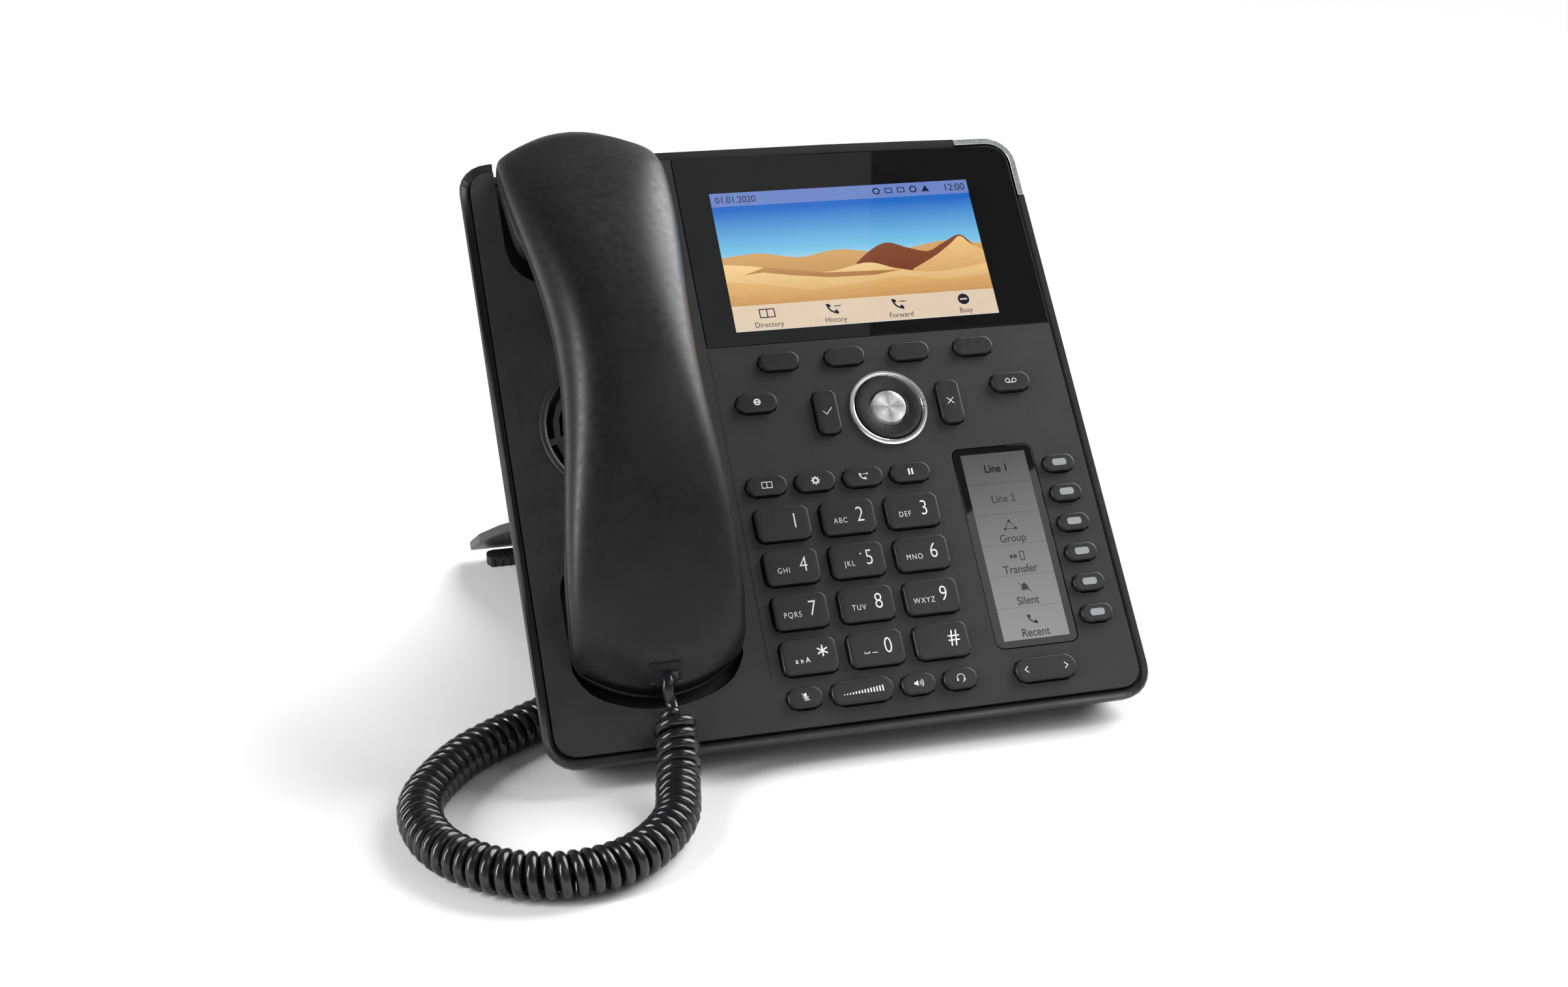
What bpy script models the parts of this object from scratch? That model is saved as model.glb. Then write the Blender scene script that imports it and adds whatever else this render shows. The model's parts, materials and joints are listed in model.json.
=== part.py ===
"""Desk telephone with a corded handset, a colour display and a display for its line keys.

The telephone is drawn lying flat and is then tilted on its stand. In the flat "face" frame the
origin is the centre of the colour display, x runs to the right, y up the face and w out of the
face, which is w = 0. The face empty carries that frame into the world, where +Z is up, the
telephone faces -Y, and the origin is on the table under the middle of the telephone.
"""
import math

import bmesh
import bpy
from mathutils import Matrix, Vector

MM = 0.001

# Stand angle
TILT = math.radians(46.6)

# Body outline, seen along the face's normal; its right and top edges are set from the display,
# and its width is the display side's plus the handset side's
DISPLAY_SIDE_W = 127.4 * MM
BODY_H = 215.2 * MM
BODY_RIGHT = 68.8 * MM
BODY_TOP = 45.3 * MM
BODY_CORNER = 10.5 * MM
BODY_DEPTH = 27.0 * MM
WALL = 3.0 * MM
RIM_BELOW_COVER = 0.5 * MM
RIM_BEVEL = 0.5 * MM
RIM_SIDE = 0.3 * MM
RIM_HEEL = 0.2 * MM
SHOULDER_DEPTH = 20.6 * MM
SHOULDER_SIDE = 5.0 * MM
HEEL_SET_BACK = 6.33 * MM
BACK_CORNER = 9.0 * MM
SIDE_TAPER = 14.0 * MM
TOP_TAPER = 12.0 * MM
TOP_ARCH = 1.4 * MM

# Gaps
TOUCH = 0.3 * MM
GROOVE = 0.6 * MM
KEY_GAP = 0.45 * MM
CUT_PAST = 2.0 * MM

# Front cover and what sits in it
COVER_T = 3.0 * MM
COVER_CORNER = 7.0 * MM
GLASS_T = 1.5 * MM
GLASS_BOTTOM = -31.9 * MM
GLASS_CORNER = 6.5 * MM
LCD_W = 102.4 * MM
LCD_H = 60.6 * MM
LCD_T = 3.4 * MM
LCD_CORNER = 0.8 * MM
SEAT_CORNER = 1.0 * MM
LINE_X = 32.5 * MM
LINE_Y = -112.9 * MM
LINE_W = 28.6 * MM
LINE_H = 71.4 * MM
LINE_CORNER = 2.5 * MM
LINE_BORDER = 1.8 * MM
LINE_LCD_T = 3.0 * MM

# Status lamp at the upper right corner of the rim
LAMP_LEFT = 46.9 * MM
LAMP_BOTTOM = 19.8 * MM
LAMP_W = 2.6 * MM
LAMP_T = 5.0 * MM
LAMP_INSET = 0.2 * MM
LAMP_CUT = 0.6 * MM
LAMP_TOP_DROP = 1.0 * MM
LAMP_RISE = 0.4 * MM

# Keys: each stands proud of the face and has a flange behind the cover
KEY_PROUD = 1.8 * MM
KEY_CROWN = 0.5 * MM
KEY_TRAVEL = 1.2 * MM
FLANGE = 0.7 * MM
FLANGE_T = 0.8 * MM
ROCKER_DROP = 0.6 * MM
DIAL_X = -45.27 * MM
DIAL_Y = -97.82 * MM
DIAL_W = 18.4 * MM
DIAL_H = 11.7 * MM
DIAL_SPACE_X = 3.93 * MM
DIAL_SPACE_Y = 3.55 * MM
DIAL_CORNER = 2.5 * MM
SOFT_Y = -39.41 * MM
SOFT_PITCH = 23.27 * MM
SOFT_W = 14.0 * MM
SOFT_H = 6.5 * MM
FUNC_X = -48.1 * MM
FUNC_Y = -84.05 * MM
FUNC_PITCH = 16.6 * MM
FUNC_W = 13.8 * MM
FUNC_H = 6.7 * MM
LINE_KEY_X = 54.87 * MM
LINE_KEY_Y = -85.73 * MM
LINE_KEY_PITCH = 10.89 * MM
LINE_KEY_W = 11.0 * MM
LINE_KEY_H = 6.0 * MM
PILL = 2.1
ROW_Y = -156.93 * MM
ROW_KEY_W = 11.4 * MM
ROW_KEY_H = 6.8 * MM
ROW_CORNER = 3.2 * MM
MUTE_X = -49.27 * MM
VOLUME_X = -30.26 * MM
VOLUME_W = 20.7 * MM
SPEAKER_KEY_X = -11.42 * MM
HEADSET_KEY_X = 2.85 * MM
PAGE_W = 21.0 * MM
ROCKER_H = 8.0 * MM
ROCKER_CORNER = 3.8 * MM
SIDE_KEY_Y = -54.06 * MM
SIDE_KEY_W = 14.0 * MM
SILENCE_X = -45.8 * MM
MESSAGE_X = 44.84 * MM

# Navigation cluster
NAV_X = -0.41 * MM
NAV_Y = -59.54 * MM
TRIM_R = 13.75 * MM
TRIM_BORE = 11.85 * MM
TRIM_PROUD = 1.1 * MM
TRIM_LIP = 1.0 * MM
NAV_GAP = 0.35 * MM
NAV_HOLE = 6.5 * MM
OK_R = 6.0 * MM
NAV_KEY_DX = 21.94 * MM
NAV_KEY_W = 8.0 * MM
NAV_KEY_H = 16.0 * MM
NAV_KEY_CORNER = 2.6 * MM
TRIM_EDGE = 0.3 * MM
TURNED_EDGE = 0.4 * MM
NAV_BELOW_COVER = 0.6 * MM
NAV_DISH = 1.5 * MM
NAV_DISH_RIM = 0.2 * MM
NAV_DISH_DROP = 0.5 * MM
FULCRUM_R = 7.6 * MM
FULCRUM_T = 0.6 * MM
FULCRUM_GAP = 0.7 * MM

# Boards and sound
MAT_T = 1.0 * MM
BOARD_T = 1.6 * MM
BOARD_MARGIN = 4.5 * MM
BOARD_SIDE = 2.0 * MM
BOARD_TOP_MARGIN = 4.0 * MM
BOARD_CORNER = 2.0 * MM
MAT_CLEAR = 1.0 * MM
SPEAKER_ASIDE = 0.6 * MM
SPEAKER_Y = -57.5 * MM
GRILLE_R = 22.7 * MM
GRILLE_SLOT = 2.2 * MM
GRILLE_PITCH = 4.0 * MM
GRILLE_RINGS = 4
GRILLE_WEB = 2.4 * MM
GRILLE_TURN = 10
SPEAKER_R = 24.0 * MM
SPEAKER_DEPTH = 14.0 * MM
SPEAKER_RIM = 2.0 * MM
SURROUND = 3.0 * MM
CAP_R = 6.0 * MM
CAP_DIP = 3.0 * MM
CONE_DIP = 4.0 * MM
BASKET_DEPTH = 6.0 * MM
MAGNET_R = 15.0 * MM

# Handset and the two pockets that it lies in; its ends are where its sides stop
HANDSET_OUTSIDE = 16.8 * MM
HANDSET_INSIDE = 11.9 * MM
HANDSET_LOW = -140.0 * MM
HANDSET_HIGH = 40.6 * MM
HANDSET_MID = -47.0 * MM
HANDSET_RISE = 43.5 * MM
HANDSET_ARCH = 4.0
SEAM_RISE = 31.0 * MM
SEAM_ARCH = 3.1
HANDSET_HALF = 22.9 * MM
HANDSET_WAIST = 3.0 * MM
WAIST_REACH = 80.0 * MM
HANDLE_DEPTH = 7.5 * MM
HANDSET_WALL = 2.2 * MM
CUP_FLOOR = -7.0 * MM
CUP_RAMP = 12.0 * MM
RECEIVER_SET_IN = 15.6 * MM
RECEIVER_R = 13.5 * MM
RECEIVER_T = 4.5 * MM
RECEIVER_LIFT = 0.5 * MM
SOCKET_SET_OUT = 3.6 * MM
SOCKET_LEVEL = 5.6 * MM
SOCKET_SPACE_W = 1.6 * MM
SOCKET_SPACE_H = 1.2 * MM
SOCKET_CUT = 30.0 * MM
END_FACE = math.atan2(14.5, 12.5)
POCKET_FLOOR = -9.5 * MM
POCKET_WALL = 1.6 * MM
POCKET_GAP = 1.5 * MM
POCKET_SAG = 9.0 * MM
POCKET_TURN = 6.0 * MM
POCKET_TURN_POWER = 10
POCKET_EAR_REACH = 44.6 * MM
POCKET_MOUTH_REACH = 40.0 * MM
POCKET_BEYOND = 14.3 * MM
POCKET_CORNER = 14.0 * MM
TUB_OVERLAP = 0.2 * MM
NOTCH_MARGIN = 5.0 * MM

# Hump on the back that holds the jacks
HUMP_LEFT = -91.0 * MM
HUMP_RIGHT = 41.0 * MM
HUMP_BOTTOM = -45.0 * MM
HUMP_TOP = 28.0 * MM
HUMP_DEPTH = 14.0 * MM
HUMP_WALL = 2.0 * MM
HUMP_CORNER = 4.0 * MM
JACK_DEPTH = 17.0 * MM
JACK_H = 9.4 * MM
JACK_SIDE = 8.0 * MM
SOCKET_W = 11.8 * MM
SOCKET_H = 7.4 * MM
SOCKET_DEEP = 12.0 * MM
SMALL_SOCKET_W = 8.2 * MM
SMALL_SOCKET_H = 6.6 * MM
POWER_SOCKET = 7.0 * MM
HANDSET_JACK_X = -77.0 * MM
HEADSET_JACK_X = -60.0 * MM
LINE_JACK_X = -34.0 * MM
COMPUTER_JACK_X = -16.0 * MM
POWER_JACK_X = 6.0 * MM

# Foot stand, given by table coordinates: distance behind the display's centre, and height
STAND_FOOT_F = 79.0 * MM
STAND_FOOT_Z = 5.2 * MM
STAND_FOOT_SLOPE = 0.533
STAND_SPREAD_F = -27.0 * MM
STAND_BEND_Y = -70.0 * MM
STAND_BEND_R = 6.0 * MM
STAND_TONGUE = 18.0 * MM
STAND_BOW = 6.0 * MM
STAND_T = 3.6 * MM
STAND_FOOT_HALF = 96.5 * MM
STAND_TOP_HALF = 46.0 * MM
PAD_LENGTH = 182.0 * MM
PAD_W = 9.0 * MM
PAD_F = 72.5 * MM
PAD_T = 3.6 * MM
PAD_CORNER = 3.0 * MM

# Cord
WIRE = 3.7 * MM
COIL = 14.0 * MM
PLUG_W = 7.6 * MM
PLUG_H = 6.0 * MM
PLUG_LENGTH = 11.0 * MM

RIM_DEPTH = COVER_T + RIM_BELOW_COVER
GLASS_LEFT = BODY_RIGHT - DISPLAY_SIDE_W
HANDSET_X = GLASS_LEFT - HANDSET_INSIDE - HANDSET_HALF
BODY_LEFT = HANDSET_X - HANDSET_HALF - HANDSET_OUTSIDE
SPEAKER_X = HANDSET_X - SPEAKER_ASIDE
BODY_BOTTOM = BODY_TOP - BODY_H
BODY_X = (BODY_LEFT + BODY_RIGHT) / 2
COS = math.cos(TILT)
SIN = math.sin(TILT)

# Depth of the table below the display's centre, where the heel of the body stands on it
TABLE_DROP = SHOULDER_DEPTH * COS - (BODY_BOTTOM + HEEL_SET_BACK) * SIN
FRONT_F = (BODY_BOTTOM + RIM_BEVEL) * COS
BACK_F = STAND_FOOT_F + STAND_T / 2 * STAND_FOOT_SLOPE
ORIGIN_F = (FRONT_F + BACK_F) / 2

COVER_LEFT = BODY_LEFT + WALL + GROOVE
COVER_RIGHT = BODY_RIGHT - WALL - GROOVE
COVER_BOTTOM = BODY_BOTTOM + WALL + GROOVE
COVER_TOP = BODY_TOP - WALL - GROOVE
FLANGE_TOP = -COVER_T - TOUCH
KEY_BOTTOM = FLANGE_TOP - FLANGE_T
MAT_TOP = KEY_BOTTOM - KEY_TRAVEL - TOUCH
BOARD_TOP = MAT_TOP - MAT_T - TOUCH
HUMP_BACK = -BODY_DEPTH - HUMP_DEPTH
JACK_WIDTH = HUMP_RIGHT - HUMP_LEFT - 2 * HUMP_WALL - JACK_SIDE
DIAL_PITCH_X = DIAL_W + DIAL_SPACE_X
DIAL_PITCH_Y = DIAL_H + DIAL_SPACE_Y
POCKET_HALF = HANDSET_HALF + HANDSET_WAIST + POCKET_GAP
POCKET_TOP_END = HANDSET_HIGH - POCKET_EAR_REACH
POCKET_LOW_START = HANDSET_LOW + POCKET_MOUTH_REACH
POCKET_LOW_END = HANDSET_LOW - POCKET_BEYOND
RECEIVER_Y = HANDSET_HIGH - RECEIVER_SET_IN
SOCKET_Y = HANDSET_LOW - SOCKET_SET_OUT

for old in list(bpy.data.objects):
    bpy.data.objects.remove(old, do_unlink=True)
PARTS = bpy.data.collections.new("desk_ip_phone")
CUTTERS = bpy.data.collections.new("cutters")
bpy.context.scene.collection.children.link(PARTS)
bpy.context.scene.collection.children.link(CUTTERS)

FACE = bpy.data.objects.new("face_frame", None)
FACE.location = (-BODY_X, -ORIGIN_F, TABLE_DROP)
FACE.rotation_euler = (TILT, 0, 0)
PARTS.objects.link(FACE)
TABLE = bpy.data.objects.new("table_frame", None)
TABLE.location = (-BODY_X, -ORIGIN_F, 0)
PARTS.objects.link(TABLE)


def material(name, colour, roughness, metallic=0.0):
    mat = bpy.data.materials.get(name)
    if mat is None:
        mat = bpy.data.materials.new(name)
        mat.use_nodes = True
        shader = mat.node_tree.nodes["Principled BSDF"]
        shader.inputs["Base Color"].default_value = (*colour, 1.0)
        shader.inputs["Roughness"].default_value = roughness
        shader.inputs["Metallic"].default_value = metallic
    return mat


BLACK = ((0.035, 0.035, 0.037), 0.55)
KEY_BLACK = ((0.03, 0.03, 0.032), 0.45)
RUBBER = ((0.02, 0.02, 0.02), 0.85)
GLOSS = ((0.01, 0.01, 0.012), 0.08)
STEEL = ((0.75, 0.76, 0.78), 0.25, 1.0)
BOARD_GREEN = ((0.02, 0.16, 0.07), 0.5)
LAMP_WHITE = ((0.82, 0.83, 0.85), 0.3)
SCREEN_BLUE = ((0.2, 0.45, 0.8), 0.2)
LCD_GREY = ((0.4, 0.42, 0.42), 0.3)
SILICONE = ((0.5, 0.5, 0.5), 0.8)
CONE_BLACK = ((0.1, 0.1, 0.1), 0.6)
RECEIVER_GREY = ((0.3, 0.3, 0.3), 0.5)
JACK_BLACK = ((0.05, 0.05, 0.05), 0.5)


def finish(obj, finish_values, parent=FACE):
    """Gives a sub-part its own material and its place in the assembly."""
    for holder in list(obj.users_collection):
        holder.objects.unlink(obj)
    PARTS.objects.link(obj)
    obj.data.materials.clear()
    obj.data.materials.append(material(obj.name, *finish_values))
    obj.parent = parent
    return obj


def cutter(obj, parent=FACE):
    for holder in list(obj.users_collection):
        holder.objects.unlink(obj)
    CUTTERS.objects.link(obj)
    obj.hide_render = True
    obj.display_type = "WIRE"
    obj.parent = parent
    return obj


def boolean(obj, operation, tool):
    step = obj.modifiers.new(operation.lower(), "BOOLEAN")
    step.operation = operation
    step.object = tool
    step.solver = "EXACT"


def part_object(name, data):
    obj = bpy.data.objects.new(name, data)
    PARTS.objects.link(obj)
    return obj


def arc(cx, cy, r, start, end, steps):
    """Points on an arc, angles in degrees."""
    angles = [math.radians(start + (end - start) * i / steps) for i in range(steps + 1)]
    return [(cx + r * math.cos(a), cy + r * math.sin(a)) for a in angles]


def rounded(x0, x1, y0, y1, r, steps=3, arch=0.0):
    """A rectangle with round corners, whose top edge may rise in an arch."""
    def lift(x):
        return -arch * ((x - (x0 + x1) / 2) / ((x1 - x0) / 2)) ** 2
    points = arc(x1 - r, y0 + r, r, -90, 0, steps)
    points += arc(x1 - r, y1 - r, r, 0, 90, steps)
    if arch:
        points += [(x1 - r + (x0 - x1 + 2 * r) * i / 6, y1) for i in range(1, 6)]
    points += arc(x0 + r, y1 - r, r, 90, 180, steps)
    points += arc(x0 + r, y0 + r, r, 180, 270, steps)
    middle = (y0 + y1) / 2
    return [(x, y + (lift(x) if y > middle else 0)) for x, y in points]


def rectangle(x0, x1, y0, y1):
    return [(x0, y0), (x1, y0), (x1, y1), (x0, y1)]


def centred(x, y, width, height, r, steps=3):
    return rounded(x - width / 2, x + width / 2, y - height / 2, y + height / 2, r, steps)


def round_outline(x, y, r, steps=24):
    return arc(x, y, r, 0, 360 * (steps - 1) / steps, steps - 1)


def flat(name, outlines, w0, w1):
    """A flat plate between two levels; outlines after the first are its holes."""
    curve = bpy.data.curves.new(name, "CURVE")
    curve.dimensions = "2D"
    curve.fill_mode = "BOTH"
    curve.extrude = (w1 - w0) / 2
    for outline in outlines:
        spline = curve.splines.new("POLY")
        spline.points.add(len(outline) - 1)
        for point, (x, y) in zip(spline.points, outline):
            point.co = (x, y, 0, 1)
        spline.use_cyclic_u = True
    return from_curve(name, curve, Matrix.Translation((0, 0, (w0 + w1) / 2)))


def from_curve(name, curve, place):
    """Turns a curve into a mesh object with its caps welded."""
    guide = bpy.data.objects.new(name + "_curve", curve)
    bpy.context.scene.collection.objects.link(guide)
    bpy.context.view_layer.update()
    evaluated = guide.evaluated_get(bpy.context.evaluated_depsgraph_get())
    data = bpy.data.meshes.new_from_object(evaluated)
    bpy.data.objects.remove(guide, do_unlink=True)
    bpy.data.curves.remove(curve)
    shape = bmesh.new()
    shape.from_mesh(data)
    bmesh.ops.remove_doubles(shape, verts=shape.verts, dist=1e-6)
    bmesh.ops.recalc_face_normals(shape, faces=shape.faces)
    bmesh.ops.transform(shape, matrix=place, verts=shape.verts)
    shape.to_mesh(data)
    shape.free()
    data.name = name
    return part_object(name, data)


def skin(shape, rings, closed=True):
    """Joins rings of points with bands of faces and returns the rings' vertices."""
    loops = [[shape.verts.new(p) for p in ring] for ring in rings]
    for low, high in zip(loops, loops[1:]):
        count = len(low)
        for i in range(count if closed else count - 1):
            j = (i + 1) % count
            quad = [low[i], low[j], high[j], high[i]]
            shape.faces.new(quad)
    return loops


def loft(name, rings, caps=(True, True)):
    """A solid or a tub through flat rings, each given as (outline, level), lowest first."""
    shape = bmesh.new()
    loops = skin(shape, [[(x, y, w) for x, y in outline] for outline, w in rings])
    if caps[0]:
        shape.faces.new(list(reversed(loops[0])))
    if caps[1]:
        shape.faces.new(loops[-1])
    data = bpy.data.meshes.new(name)
    shape.to_mesh(data)
    shape.free()
    return part_object(name, data)


def turned(name, profile, x, y, segments=32):
    """A turned piece; the profile runs down its outer side, as (radius, level) pairs."""
    data = bpy.data.meshes.new(name)
    shape = bmesh.new()
    verts = [shape.verts.new((r, 0, w)) for r, w in profile]
    for i in range(len(verts)):
        j = (i + 1) % len(verts)
        if profile[i][0] > 0 or profile[j][0] > 0:
            shape.edges.new((verts[i], verts[j]))
    shape.to_mesh(data)
    shape.free()
    obj = part_object(name, data)
    obj.location = (x, y, 0)
    screw = obj.modifiers.new("turn", "SCREW")
    screw.steps = segments
    screw.render_steps = segments
    screw.use_merge_vertices = True
    screw.merge_threshold = 0.00001
    return obj


def key(name, x, y, width, height, corner, steps=2):
    """A key cap with its flange; its origin is on the face, at its own middle."""
    drop = ROCKER_DROP if name.endswith("rocker") else 0.0

    def ring(grow, level):
        return centred(0, 0, width + 2 * grow, height + 2 * grow, corner + grow, steps), level
    rings = [ring(FLANGE, KEY_BOTTOM - drop), ring(FLANGE, FLANGE_TOP - drop),
             ring(0, FLANGE_TOP - drop), ring(0, KEY_PROUD - KEY_CROWN),
             ring(-KEY_CROWN, KEY_PROUD)]
    obj = loft(name, rings)
    obj.location = (x, y, 0)
    return finish(obj, KEY_BLACK)


def key_plan():
    """Every key as (name, x, y, width, height, corner radius)."""
    plan = []
    dial_names = ("1", "2", "3", "4", "5", "6", "7", "8", "9", "star", "0", "hash")
    for i, label in enumerate(dial_names):
        x = DIAL_X + (i % 3) * DIAL_PITCH_X
        y = DIAL_Y - (i // 3) * DIAL_PITCH_Y
        plan.append(("dial_key_" + label, x, y, DIAL_W, DIAL_H, DIAL_CORNER))
    for i in range(4):
        x = NAV_X + (i - 1.5) * SOFT_PITCH
        plan.append(("soft_key_%d" % (i + 1), x, SOFT_Y, SOFT_W, SOFT_H, SOFT_H / PILL))
    for i, label in enumerate(("directory", "settings", "transfer", "hold")):
        x = FUNC_X + i * FUNC_PITCH
        plan.append((label + "_key", x, FUNC_Y, FUNC_W, FUNC_H, FUNC_H / PILL))
    for i in range(6):
        y = LINE_KEY_Y - i * LINE_KEY_PITCH
        plan.append(("line_key_%d" % (i + 1), LINE_KEY_X, y, LINE_KEY_W, LINE_KEY_H,
                     LINE_KEY_H / PILL))
    row_key = (ROW_Y, ROW_KEY_W, ROW_KEY_H, ROW_CORNER)
    side_key = (SIDE_KEY_Y, SIDE_KEY_W, ROW_KEY_H, ROW_CORNER)
    nav_key = (NAV_Y, NAV_KEY_W, NAV_KEY_H, NAV_KEY_CORNER)
    plan.append(("mute_key", MUTE_X, *row_key))
    plan.append(("volume_rocker", VOLUME_X, ROW_Y, VOLUME_W, ROCKER_H, ROCKER_CORNER))
    plan.append(("speaker_key", SPEAKER_KEY_X, *row_key))
    plan.append(("headset_key", HEADSET_KEY_X, *row_key))
    plan.append(("page_rocker", LINE_X, ROW_Y, PAGE_W, ROCKER_H, ROCKER_CORNER))
    plan.append(("silence_key", SILENCE_X, *side_key))
    plan.append(("message_key", MESSAGE_X, *side_key))
    plan.append(("confirm_key", NAV_X - NAV_KEY_DX, *nav_key))
    plan.append(("cancel_key", NAV_X + NAV_KEY_DX, *nav_key))
    return plan


def handset_half(y):
    """Half the handset's width: a waist in the middle and full width at both ends."""
    reach = min(abs(y - HANDSET_MID), WAIST_REACH)
    return HANDSET_HALF - HANDSET_WAIST * math.cos(math.pi * reach / WAIST_REACH)


def pocket_outline(grow, y_end, y_start, sag, steps=16):
    """A pocket with a bowed, round-cornered end at y_end and round corners at y_start."""
    half = POCKET_HALF + grow
    side = 1 if y_end > y_start else -1
    bow = []
    for i in range(steps + 1):
        s = math.cos(math.pi * i / steps)
        drop = sag * s ** 2 + POCKET_TURN * s ** POCKET_TURN_POWER
        bow.append((HANDSET_X + side * half * s, y_end + side * (grow - drop)))
    r = POCKET_CORNER + grow
    start = y_start - side * grow
    turn = 0 if side > 0 else 180
    first = arc(HANDSET_X - side * (half - r), start + side * r, r, 180 + turn, 270 + turn, 5)
    second = arc(HANDSET_X + side * (half - r), start + side * r, r, 270 + turn, 360 + turn, 5)
    return bow + first + second


def prisms(name, outlines, w0, w1):
    """Upright prisms side by side, as one cutter."""
    shape = bmesh.new()
    for outline in outlines:
        low, high = skin(shape, [[(x, y, w) for x, y in outline] for w in (w0, w1)])
        shape.faces.new(list(reversed(low)))
        shape.faces.new(high)
    data = bpy.data.meshes.new(name)
    shape.to_mesh(data)
    shape.free()
    return part_object(name, data)


def upper_pocket(grow, end):
    """The ear pocket's outline, which runs out through the top edge at y = end."""
    left = HANDSET_X - POCKET_HALF
    right = HANDSET_X + POCKET_HALF
    y = POCKET_TOP_END + POCKET_CORNER
    corner = POCKET_CORNER
    r = corner + grow
    return (arc(left + corner, y, r, 180, 270, 4) + arc(right - corner, y, r, 270, 360, 4)
            + [(right + grow, end), (left - grow, end)])


def cover_openings():
    """Outlines of everything that passes right through the front cover."""
    holes = [centred(x, y, w + 2 * KEY_GAP, h + 2 * KEY_GAP, r + KEY_GAP, 2)
             for _, x, y, w, h, r in key_plan()]
    holes.append(round_outline(NAV_X, NAV_Y, TRIM_R - TRIM_LIP + TOUCH, 24))
    holes.append(centred(0, 0, LCD_W + 2 * TOUCH, LCD_H + 2 * TOUCH, SEAT_CORNER, 1))
    holes.append(centred(LINE_X, LINE_Y, LINE_W - 2 * LINE_BORDER, LINE_H - 2 * LINE_BORDER,
                         SEAT_CORNER, 1))
    for ring in range(GRILLE_RINGS):
        outer = GRILLE_R - ring * GRILLE_PITCH
        inner = outer - GRILLE_SLOT
        web = math.degrees(GRILLE_WEB / 2 / outer)
        steps = 5 - ring
        for quarter in range(4):
            start = 90 * quarter + web + GRILLE_TURN
            end = 90 * quarter + 90 - web + GRILLE_TURN
            holes.append(arc(SPEAKER_X, SPEAKER_Y, outer, start, end, steps)
                         + arc(SPEAKER_X, SPEAKER_Y, inner, end, start, steps))
    return holes


def make_front_cover():
    outline = rounded(COVER_LEFT, COVER_RIGHT, COVER_BOTTOM, COVER_TOP, COVER_CORNER, 6, TOP_ARCH)
    cover = flat("front_cover", [outline], -COVER_T, 0)
    inside = -COVER_T + TUB_OVERLAP
    tub_floor = POCKET_FLOOR - POCKET_WALL
    lower = (POCKET_LOW_END, POCKET_LOW_START, POCKET_SAG)
    tubs = [upper_pocket(POCKET_WALL, COVER_TOP - TOP_ARCH), pocket_outline(POCKET_WALL, *lower)]
    boolean(cover, "UNION", cutter(prisms("pocket_tubs", tubs, tub_floor, inside)))
    pockets = [upper_pocket(0, BODY_TOP + NOTCH_MARGIN), pocket_outline(0, *lower)]
    boolean(cover, "DIFFERENCE", cutter(prisms("pockets", pockets, POCKET_FLOOR, CUT_PAST)))
    recess = rectangle(GLASS_LEFT - TOUCH, BODY_RIGHT, GLASS_BOTTOM - TOUCH, BODY_TOP)
    line_recess = centred(LINE_X, LINE_Y, LINE_W + 2 * TOUCH, LINE_H + 2 * TOUCH,
                          LINE_CORNER + TOUCH, 3)
    seats = prisms("window_seats", [recess, line_recess], -GLASS_T - TOUCH, CUT_PAST)
    boolean(cover, "DIFFERENCE", cutter(seats))
    openings = prisms("cover_openings", cover_openings(), -COVER_T - CUT_PAST, CUT_PAST)
    boolean(cover, "DIFFERENCE", cutter(openings))
    return finish(cover, BLACK)


def table_chamfer(level):
    """The y at which the table's plane meets a level behind the face."""
    return (-TABLE_DROP - level * COS) / SIN


def body_ring(level, side, top, bottom, corner):
    outline = rounded(BODY_LEFT + side, BODY_RIGHT - side, bottom, BODY_TOP - top, corner, 6,
                      TOP_ARCH)
    return outline, level


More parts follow.
